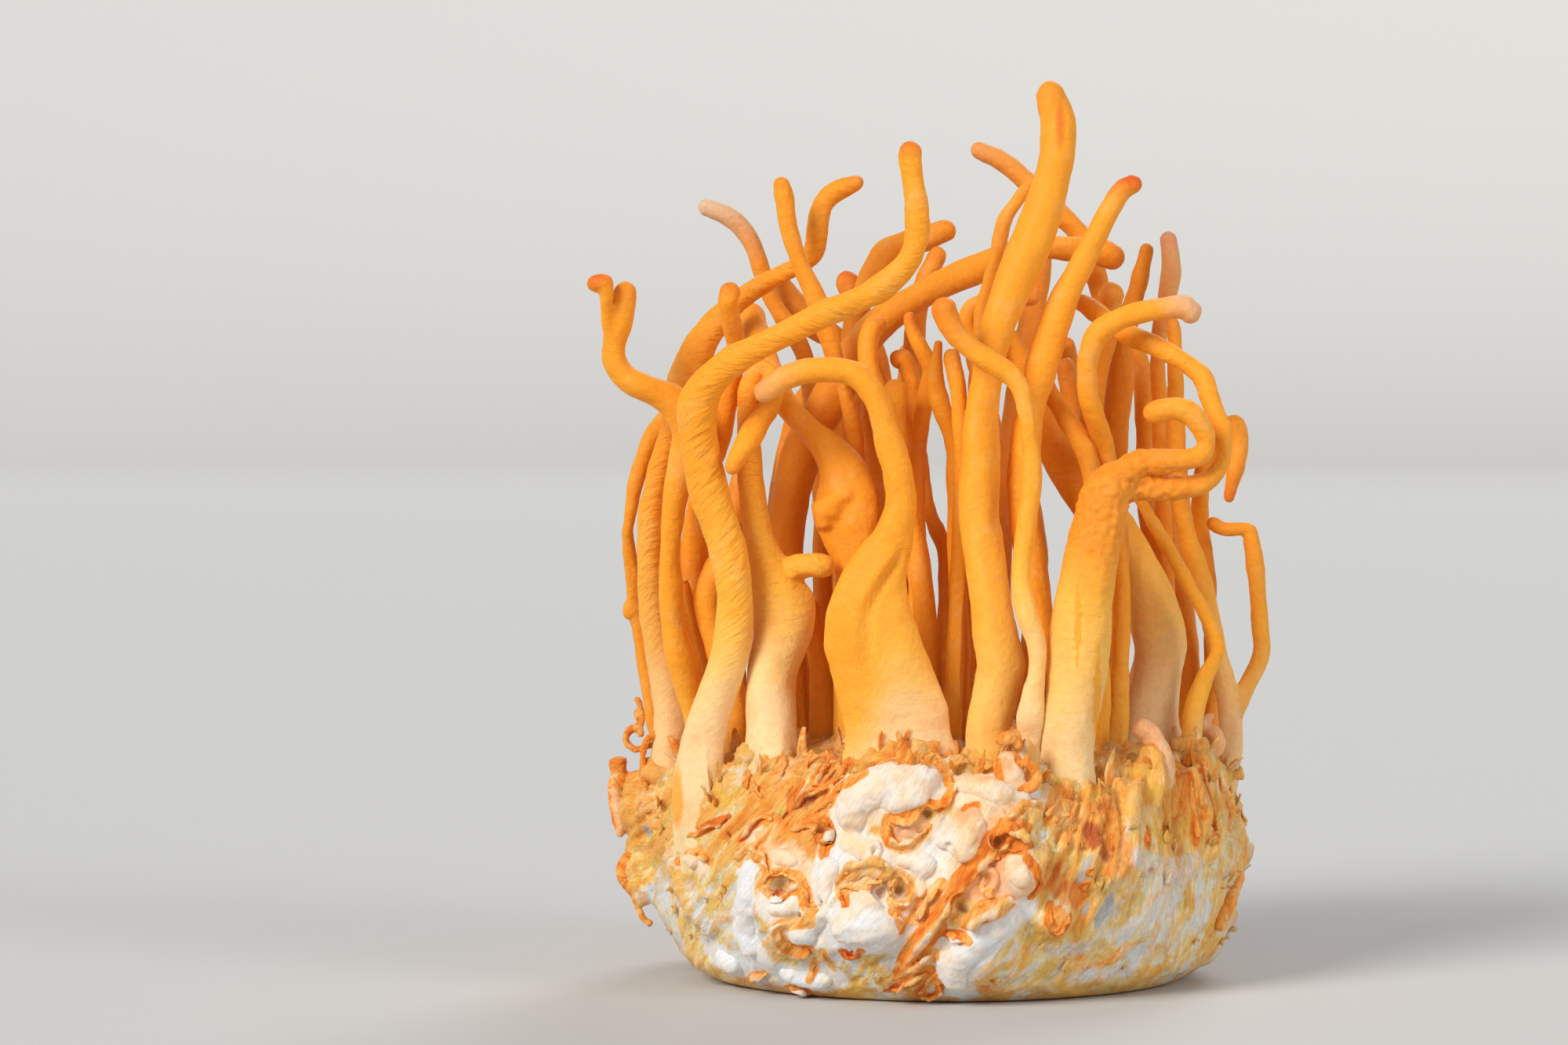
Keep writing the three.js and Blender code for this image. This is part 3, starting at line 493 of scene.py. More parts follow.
def round_tip(mesh, middle, forward, radius, reach_mm):
    places = corners(mesh)
    rel = places - middle
    ahead = rel @ forward
    far = np.linalg.norm(rel, axis=1)
    share = np.clip(ahead / (DOME_BLEND * radius), 0, 1)[:, None]
    dome = middle + rel / np.maximum(far, 1e-9)[:, None] * radius
    dome += forward * (DOME_STRETCH * np.clip(ahead, 0, None))[:, None]
    inside = (far < DOME_REACH * radius) & (ahead > 0) & (fetch(mesh, "to_tip_mm") < reach_mm)
    places[inside] = (places * (1 - share) + dome * share)[inside]
    set_corners(mesh, places)


print("tip helper ready")

# %% [markdown]
# No two clubs are alike. A few in front and on the right have pale feet, the others are orange from the
# start. Some tips are red, some are dull and pale, and five of the bent clubs in front are wrinkled across.
# The yellow stains and the red patch are given by their place as seen from the camera.

# %% The marks of single clubs
ORANGE_START_MM = 18.0
RIPENS_SLOWLY = {"club_front_tall": (13.0, 0.5)}  # the start in mm, and the share of its length that counts
PALE_FEET = (
    "club_front_left_hook", "club_front_left_cane", "club_left_arch", "club_front_wavy", "club_shoulder",
    "club_shoulder_arm", "club_shoulder_curl", "club_right_leaning", "club_right_fork",
)
PLAIN_RED_TIP = (0.3, 2.0)  # how red, and how far from the tip in mm
RED_TIPS = {
    "club_front_left_hook": (0.8, 1.8), "club_right_tall": (1.0, 2.6), "club_right_red_tip": (0.9, 2.6),
    "club_left_forked_hammer": (0.8, 1.8), "club_front_wavy": (0.5, 6.0), "club_back_red_spot": (0.9, 1.6),
    "club_front_tall": (0.25, 4.0), "club_left_upright": (0.6, 2.0), "club_right_droop": (0.6, 3.0),
    "club_shoulder_arm": (0.5, 3.0), "club_centre_needle": (0.6, 2.4), "club_centre_needle_right": (0.5, 2.4),
}
NO_PALE_TIP = (0.0, 1.0)  # how pale, and how far from the tip in mm
PALE_TIPS = {
    "club_back_pale_tip": (0.8, 8.0), "club_right_crook": (0.55, 3.4), "club_right_red_tip": (0.4, 13.0),
    "club_back_sweep": (0.2, 6.0), "club_front_arch": (0.25, 5.0),
}
WRINKLED = {"club_shoulder": 0.3, "club_front_left_hook": 0.7, "club_front_left_cane": 0.6,
            "club_left_arch": 0.75, "club_right_leaning": 0.4}
PLAIN_WRINKLES = 0.15
WRINKLES_START_MM = 12.0
# Clubs further back get the darker ramp as painted shade, from 14 mm in front of the middle over 30 mm of
# depth; these two keep the front ramp.
NO_BACK_SHADE = ("club_front_tall", "club_right_leaning")
BACK_SHADE_FROM_MM = -14.0
BACK_SHADE_OVER_MM = 30.0
STAINS = [  # across, up, half the width and half the height in mm
    (-27.0, 18.4, 1.0, 4.2), (-23.9, 16.6, 1.0, 2.4), (16.0, 29.0, 0.55, 7.0), (14.0, 36.0, 0.45, 6.5),
    (15.2, 44.0, 1.2, 1.6),
]
RED_PATCH = (12.1, 87.0, 0.6, 3.2)
RED_PATCH_STRENGTH = 0.7
PATCHES_BEFORE = -10 * MM


def on_sheet(places):
    """Where places look to be on the upright sheet through the middle, seen from the camera, in mm."""
    share = EYE.y / (EYE.y - places[:, 1])
    across = (EYE.x + (places[:, 0] - EYE.x) * share) / MM
    up = (EYE.z + (places[:, 2] - EYE.z) * share) / MM
    return across, up


def in_patch(mesh, across, up, half_width, half_height):
    """1 in the middle of an oval patch on the front of a club, falling to 0 at its edge."""
    places = corners(mesh)
    a, u = on_sheet(places)
    far = np.hypot((a - across) / half_width, (u - up) / half_height)
    facing = np.clip(-3 * corners(mesh, "normal")[:, 1], 0, 1)
    return np.clip(1 - far ** 2, 0, 1) * facing * (places[:, 1] < PATCHES_BEFORE)


print(len(PALE_FEET), "pale feet,", len(RED_TIPS), "red tips")

# %% Helpers for the length and the marks of one club
ways = {}


def way_along(node, way):
    """The length goes on from the host's on a branch, and starts ripe on a club with an orange foot."""
    if node in HOSTS:
        host_places, host_way = ways[HOSTS[node]]
        return way + host_way[np.argmin(np.linalg.norm(host_places - np.array(feet[node][0]), axis=1))]
    if node in PALE_FEET:
        return way
    start, share = RIPENS_SLOWLY.get(node, (ORANGE_START_MM, 1.0))
    return start + share * way


def store_marks(mesh, node, depth_mm):
    """What tells this club from the others: the painted shade by its depth, its tip, its stains and wrinkles.
    """
    red, red_size = RED_TIPS.get(node, PLAIN_RED_TIP)
    pale, pale_size = PALE_TIPS.get(node, NO_PALE_TIP)
    to_tip = fetch(mesh, "to_tip_mm")
    tone = min(1.0, max(0.0, (depth_mm - BACK_SHADE_FROM_MM) / BACK_SHADE_OVER_MM))
    store(mesh, "tone", np.full(len(to_tip), 0.0 if node in NO_BACK_SHADE else tone))
    patch = RED_PATCH_STRENGTH * in_patch(mesh, *RED_PATCH)
    store(mesh, "blush", np.maximum(red * np.clip(1.15 - to_tip / red_size, 0, 1), patch))
    store(mesh, "bloom", pale * np.clip(1.2 - to_tip / pale_size, 0, 1))
    store(mesh, "stain", sum(in_patch(mesh, *stain) for stain in STAINS))
    wrinkled = WRINKLED.get(HOSTS.get(node, node), PLAIN_WRINKLES)
    fade = np.clip((fetch(mesh, "from_root_mm") - WRINKLES_START_MM) / 10, 0, 1)
    fade *= np.clip(to_tip / 12, 0.3, 1)
    store(mesh, "wrinkled", PLAIN_WRINKLES + (wrinkled - PLAIN_WRINKLES) * fade)


print("mark helpers ready")

# %% Make the skin of every club
CLUB_LEVELS = 3
LUMP_MM, LUMP_HEIGHT_MM = 5, 0.7
WRINKLE_MM, WRINKLE_HEIGHT_MM = 1.2, 0.14


def clouds(name, size_mm):
    texture = bpy.data.textures.new(name, "CLOUDS")
    texture.noise_scale = size_mm * MM
    return texture


def roughen(piece, texture, height_mm):
    apply(piece, "DISPLACE", texture=texture, strength=height_mm * MM, mid_level=0.5)


def grow_club(node):
    piece = copy_of(node, node.replace("club_", "skin_"))
    foot = sink_foot(piece, node)
    places = corners(piece.data)
    way = lengths_from(piece.data, foot)
    tip = tip_of(piece.data, way)
    ways[node] = (places, way_along(node, way))
    store(piece.data, "to_tip_mm", way.max() - way)
    store(piece.data, "from_root_mm", ways[node][1])
    push_out(piece)
    apply(piece, "SUBSURF", levels=CLUB_LEVELS, render_levels=CLUB_LEVELS)
    round_tip(piece.data, *tip)
    store_marks(piece.data, node, places[:, 1].mean() / MM)
    roughen(piece, lumps, LUMP_HEIGHT_MM)
    roughen(piece, wrinkles, WRINKLE_HEIGHT_MM)
    bpy.ops.object.shade_smooth()
    return piece


lumps = clouds("club_lumps", LUMP_MM)
wrinkles = clouds("club_wrinkles", WRINKLE_MM)
skins = {node: grow_club(node) for node in sorted(clubs, key=lambda n: n in HOSTS)}
print("clubs:", len(skins), "with", sum(len(s.data.polygons) for s in skins.values()), "faces")

# %% [markdown]
# A club that branches, or bears a bud, is one piece of flesh. Its parts are joined and given one new skin
# with a voxel Remesh, and smoothing, by a vertex group that is strong at the fork and fades away from it,
# fills the corner. A remesh forgets the numbers on the corners, so each takes them from the nearest old one.

# %% Join the branching clubs
FORK_VOXEL = 0.24 * MM
FORK_ROUNDS = 16
FORK_REACH = 3.2
FORK_FADE = 1.6
BUDS = {  # the place of a bud on its club, and how far round it the flesh is smoothed
    "club_palm": [(in_sheet(-9.6, 49.2, -12), 1.3 * MM)],
    "club_front_left_cane": [(in_sheet(-15.8, 41.0, -13.8), 3.0 * MM)],
    "club_left_thin": [(in_sheet(-30.6, 38, 0), 1.8 * MM)],
}


def join(stem, parts):
    only(stem)
    for part in parts:
        part.select_set(True)
    bpy.ops.object.join()
    return stem


def fuse(piece, spots):
    """Gives a joined club one skin, and smooths it round each (place, reach)."""
    tree = KDTree(len(piece.data.vertices))
    for i, place in enumerate(corners(piece.data)):
        tree.insert(place, i)
    tree.balance()
    numbers = {name: fetch(piece.data, name) for name in CLUB_NUMBERS}
    apply(piece, "REMESH", mode="VOXEL", voxel_size=FORK_VOXEL)
    places = corners(piece.data)
    nearest = [tree.find(place)[1] for place in places]
    for name, values in numbers.items():
        store(piece.data, name, values[nearest])
    group = piece.vertex_groups.new(name="fork")
    for spot, reach in spots:
        far = np.linalg.norm(places - np.array(spot), axis=1)
        weight = np.clip(FORK_FADE - far / reach, 0, 1)
        for i in np.flatnonzero(weight):
            group.add([int(i)], float(weight[i]), "ADD")
    apply(piece, "SMOOTH", factor=0.5, iterations=FORK_ROUNDS, vertex_group="fork")
    apply(piece, "SMOOTH", factor=0.5, iterations=2)
    bpy.ops.object.shade_smooth()


replaced = {node: [node] for node in clubs}
for stem in sorted(set(HOSTS.values())):
    branches = [node for node, host in HOSTS.items() if host == stem]
    join(skins[stem], [skins.pop(node) for node in branches])
    BUDS[stem] = [(feet[node][0], FORK_REACH * feet[node][2]) for node in branches]
    replaced[stem] += branches
for node, spots in BUDS.items():
    fuse(skins[node], spots)
    print(skins[node].name, "fused,", len(skins[node].data.polygons), "faces")

# %% [markdown]
# The thick shoulder is pebbled all over where it bends, with small round wrinkles 0.6 mm apart, and blushes
# there. Noise of that size, stronger round the bend, moves its corners in and out.

# %% Pebble the shoulder
PEBBLE_MM = 0.6
PEBBLE_HEIGHT_MM = 0.3
PEBBLES_ELSEWHERE = 0.12
BEND_MM = (17.4, 49.3, 4.9)  # across, up, and how far the bend reaches
BEND_FADE = 1.6
BEND_BLUSH = 0.3
BLUSH_FADE = 2.2

shoulder = skins["club_shoulder"].data
mm_places = corners(shoulder) / MM
pebbles = np.array([noise.noise(Vector(p) / PEBBLE_MM) for p in mm_places])
far = np.hypot(mm_places[:, 0] - BEND_MM[0], mm_places[:, 2] - BEND_MM[1]) / BEND_MM[2]
bend = np.clip(BEND_FADE - far, 0, 1)
swell(shoulder, pebbles * (PEBBLES_ELSEWHERE + (1 - PEBBLES_ELSEWHERE) * bend) * PEBBLE_HEIGHT_MM)
bend_blush = BEND_BLUSH * np.clip(BLUSH_FADE - far, 0, 1)
store(shoulder, "blush", np.maximum(fetch(shoulder, "blush"), bend_blush))
print("shoulder pebbled over", int((bend > 0).sum()), "corners")

# %% [markdown]
# The arched club in front is twisted: a crease runs down it, with a low ridge on its left, and the flesh to
# the right of the crease is paler. The crease is given as it looks from the camera, and a corner is moved by
# how far it lies from that line.

# %% Press the crease, then let the skins stand for their solids
CREASE = [(-7.1, 29.3), (-7.5, 32.4), (-7.7, 35.2), (-7.4, 37.2), (-6.4, 39.3), (-5.4, 40.9), (-4.1, 42.8)]
GROOVE_DEPTH_MM, GROOVE_WIDTH_MM = 0.55, 0.55
RIDGE_HEIGHT_MM, RIDGE_OFF_MM, RIDGE_WIDTH_MM = 0.4, 1.1, 0.9
PALER_RIGHT_MM = 11
PALER_FOOT_MM = 9

twisted = skins["club_front_arch"].data
across, up = on_sheet(corners(twisted))
left = np.interp(up, [row[1] for row in CREASE], [row[0] for row in CREASE]) - across
deep = np.interp(up, [24, 33, 38, 42, 44], [0, 0.5, 1, 1, 0]) * (corners(twisted, "normal")[:, 1] < 0.1)
deep *= corners(twisted)[:, 2] > 20 * MM
ridge = RIDGE_HEIGHT_MM * np.exp(-((left - RIDGE_OFF_MM) / RIDGE_WIDTH_MM) ** 2)
groove = GROOVE_DEPTH_MM * np.exp(-(left / GROOVE_WIDTH_MM) ** 2)
swell(twisted, deep * (ridge - groove))
right = PALER_RIGHT_MM * np.clip(0.4 - left / 3.5, 0, 1) * np.interp(up, [22, 28, 42, 45], [0.5, 1, 1, 0])
low = PALER_FOOT_MM * np.clip((30 - up) / 10, 0, 1)
store(twisted, "from_root_mm", fetch(twisted, "from_root_mm") - right - low)

for node, piece in skins.items():
    piece.data.materials.append(flesh)
    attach(piece, "root")
    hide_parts(*replaced[node])
print("finished", len(skins), "clubs,", sum(len(s.data.polygons) for s in skins.values()), "faces")

# %% [markdown]
# ## Finding places on the cake
# The cake's front is laid out as it looks from the camera, in millimetres on an upright sheet through the
# cake's middle: across, then up. A ray from the camera through such a point finds the skin behind it. The
# sides and the back, which are laid out by turn and height, are found by a ray towards the middle.

# %% Helpers that find places on the cake
CAKE_MIDDLE_X = 0.7
FRONT_REACH = 12 * MM
RAY_START_MM = 60


def first_hit(surfaces, start, way):
    hits = [hit for hit in (surface.ray_cast(start, way) for surface in surfaces) if hit[0]]
    return min(hits, key=lambda hit: hit[3])[:2] if hits else (None, None)


def hit_from_front(surfaces, across, up):
    place, normal = first_hit(surfaces, EYE, (Vector((across, 0, up)) * MM - EYE).normalized())
    return (place, normal) if place and place.y < FRONT_REACH else (None, None)


def hit_from_side(surfaces, turn, height):
    out = Vector((math.sin(math.radians(turn)), -math.cos(math.radians(turn)), 0))
    return first_hit(surfaces, Vector((CAKE_MIDDLE_X, 0, height)) * MM + out * RAY_START_MM * MM, -out)


print("rays ready")

# %% [markdown]
# ## Strands
# Folds, lips, curls and flaps are all rounded strands of thread felt. One is drawn as a chain of points,
# each moved out of the last one, and the Skin modifier puts a tube of the given thickness round the chain.
# A lip is the standing, curled edge of a torn sheet, so it is a thin strand with a thinner one on top of it
# and to one side, both of uneven thickness.

# %% Helpers for a strand
STRAND_LEVELS = 2
SIZES = (0.7, 1.3)  # of the points of a lip, as shares of the radius that its table gives
END_SIZE = 0.45
WANDER_MM = 0.22
LIP_FOOT, LIP_TOP = 0.72, 0.5
LIP_RISE, LIP_CURL = 0.95, 0.7


def strand(places, radii):
    bpy.ops.mesh.primitive_plane_add(size=MM)
    made = bpy.context.object
    bpy.ops.object.mode_set(mode="EDIT")
    bpy.ops.mesh.merge(type="CENTER")
    bpy.ops.transform.translate(value=places[0])
    for here, there in zip(places, places[1:]):
        bpy.ops.mesh.extrude_vertices_move(TRANSFORM_OT_translate={"value": there - here})
    bpy.ops.object.mode_set(mode="OBJECT")
    made.modifiers.new("Skin", "SKIN")
    for i, radius in enumerate(radii):
        made.data.skin_vertices[0].data[i].radius = (radius * MM, radius * MM)
        made.data.skin_vertices[0].data[i].use_root = i == 0
    bpy.ops.object.modifier_apply(modifier="Skin")
    apply(made, "SUBSURF", levels=STRAND_LEVELS, render_levels=STRAND_LEVELS)
    return made


def laid_on(surfaces, points, stand):
    """Places and radii of a strand on the cake's front, its middle stand radii above the skin."""
    chain = []
    for across, up, radius in points:
        place, normal = hit_from_front(surfaces, across, up)
        if place:
            chain.append((place + normal * stand * radius * MM, radius))
    return [c[0] for c in chain], [c[1] for c in chain]


def uneven(rows, rng):
    """A chain of (place, normal, radius) with a point put in between each two, all a little off."""
    between = [((a[0] + b[0]) / 2, (a[1] + b[1]).normalized(), (a[2] + b[2]) / 2)
               for a, b in zip(rows, rows[1:])]
    both = [row for pair in zip(rows, between) for row in pair] + rows[-1:]
    sizes = [rng.uniform(*SIZES) for _ in both]
    sizes[0] = sizes[-1] = END_SIZE
    off = [Vector([rng.uniform(-WANDER_MM, WANDER_MM) * MM for _ in range(3)]) for _ in both]
    return [(place + step, normal, radius * size)
            for (place, normal, radius), step, size in zip(both, off, sizes)]


def lip(rows, rng):
    """The standing edge of a sheet, curled over to one side."""
    rows = uneven(rows, rng)
    ways = [(b[0] - a[0]).cross(a[1]).normalized() for a, b in zip(rows, rows[1:])]
    curl = rng.choice((-LIP_CURL, LIP_CURL))
    tops = [place + (normal * LIP_RISE + way * curl) * radius * MM
            for (place, normal, radius), way in zip(rows, ways + ways[-1:])]
    return [strand([row[0] for row in rows], [row[2] * LIP_FOOT for row in rows]),
            strand(tops, [row[2] * LIP_TOP for row in rows])]


print("strand helpers ready")

# %% [markdown]
# ## The front of the cake
# White threads have swelled into soft pillows and folds on the front of the cake, and the sheets between
# them have torn and curled. The tables give each one as a chain of points, as it looks from the camera.

# %% The pillows and folds on the front: how cream they are, and (across, up, radius) in mm
PILLOWS = [
    (0.4, [(-9.4, 14.8, 1.9), (-9.4, 16.9, 2.4), (-8.1, 18.7, 2.4), (-5.8, 19.7, 2.2), (-3.3, 20.3, 2.2),
        (-1.3, 20.2, 2.1), (-0.2, 19.1, 1.5)]),  # dome
    (0.3, [(-10.3, 14, 1.6), (-9, 13.4, 1.6), (-7.2, 12.6, 1.5), (-5.8, 12.2, 1.2)]),  # dome, lower left
    (0.35, [(-5.8, 16.8, 1.3), (-4.5, 17.8, 1.6), (-2.7, 18.5, 1.6), (-1, 18.7, 1.3)]),  # dome, cup
    (0.95, [(-4.5, 14.3, 1), (-3.3, 14.5, 1.2), (-2.3, 15.1, 0.81)]),  # tongue
    (0.7, [(1.4, 19.3, 1.3), (2.9, 19.7, 1.5), (4.7, 19.4, 1.5), (6.1, 18.5, 1.3),
        (6.9, 17.4, 1)]),  # brain fold, top
    (0.75, [(2.6, 17.8, 1.2), (3.3, 16, 1.6), (3.3, 14.3, 1.7), (2.6, 12.6, 1.6),
        (1.4, 11.7, 1.3)]),  # brain fold, side
    (0.35, [(0.5, 14.8, 1.3), (0.7, 13.7, 1.6), (0.5, 12.6, 1.3)]),  # brain fold, nub
    (0.15, [(-1.6, 12.2, 1.3), (-1.3, 11, 1.5), (-2.4, 10.6, 1.2)]),  # brain fold, foot
    (0.7, [(-4.8, 12.2, 1.1), (-3.6, 11.4, 1.2), (-2.4, 11.9, 0.89)]),  # below the tongue
    (0.1, [(-10.9, 12.3, 1.3), (-11.2, 10.7, 1.5), (-11.9, 9.2, 1.3)]),  # dome, left foot
    (0.1, [(6.6, 19, 0.81), (7.9, 17.9, 0.96), (9.2, 18.5, 0.81)]),  # saucer
    (0.8, [(7, 16.5, 0.89), (5.8, 16, 1)]),  # beside the brain fold
    (0.05, [(-19.8, 10.6, 1.2), (-19.6, 8.2, 1.6), (-19.8, 5.6, 1.7), (-19.6, 3.3, 1.8),
        (-18.6, 1.5, 1.6)]),  # left fold, outer leg
    (0.3, [(-17.8, 7.2, 1.4), (-16.4, 6.4, 1.5), (-14.8, 7.2, 1.4),
        (-14.2, 8.4, 0.99)]),  # left fold, middle
    (0.1, [(-15.8, 4.4, 1.1), (-14.2, 4, 1.3), (-12.4, 4.4, 1.5)]),  # left fold, low
    (0.15, [(-11.2, 12.4, 1.2), (-11.7, 10.6, 1.2), (-11.8, 8.6, 1.2), (-12.2, 6.6, 1.2),
        (-13, 4.8, 1.2)]),  # ridge
    (0.1, [(-11.2, 4.8, 1.8), (-9.7, 5.2, 2.2), (-7.7, 4.8, 2.4), (-5.7, 4.8, 2.4),
        (-4.1, 5.6, 1.8)]),  # belly
    (0.1, [(-9.7, 3.3, 1.4), (-7.3, 3.3, 1.6), (-5.3, 3.6, 1.6)]),  # belly, low
    (0.45, [(-8.9, 7.4, 1.3), (-7.3, 7.5, 1.5), (-5.9, 7.2, 1.3)]),  # under the hood
    (0.2, [(-3.3, 12, 1.4), (-1.7, 11.4, 1.8), (-0.7, 10.4, 1.4)]),  # above the hood
    (0.5, [(-2.7, 9.8, 0.99), (-2, 8.8, 0.99), (-2.4, 7.6, 0.99)]),  # beside the cup
    (0.05, [(8.3, 7, 1.2), (7.1, 6, 1.6), (5.3, 4.6, 1.9), (3.3, 3.1, 2), (1.5, 1.5, 1.8),
        (1.1, -0.3, 1.6), (2.1, -1.5, 1.4)]),  # lobe
    (0.3, [(0.3, 2.9, 0.8), (0.1, 1.3, 0.99), (0.3, -0.3, 0.99)]),  # lobe, left edge
    (0.95, [(3.9, 10.2, 0.99), (5.3, 11, 1.2), (5.7, 9.4, 1.2), (3.7, 8.6, 0.99)]),  # torn sheet
    (0.6, [(7.7, 11.4, 1.2), (8.6, 10.2, 1.4), (7.7, 8.8, 1.2)]),  # torn sheet, right
    (0.1, [(-16.8, 0.3, 1.1), (-14.8, -0.3, 1.1), (-12.4, -0.7, 1.3), (-10.9, -0.3, 1.1)]),  # low white
    (0, [(-20.2, 0.9, 1.6), (-21.8, 1.3, 1.6), (-23, 2.1, 1.4)]),  # low white, left
    (0.7, [(-18, 14.9, 1.1), (-19, 13.7, 1.1)]),  # small shell
    (0.7, [(-17.1, 11.8, 1.2), (-15.7, 12.3, 1.2), (-14.5, 10.9, 1.1)]),  # small shell, low
    (0.6, [(-26.2, 12.1, 1), (-24.6, 11.6, 1)]),  # left shell
]
print(len(PILLOWS), "pillows and folds")

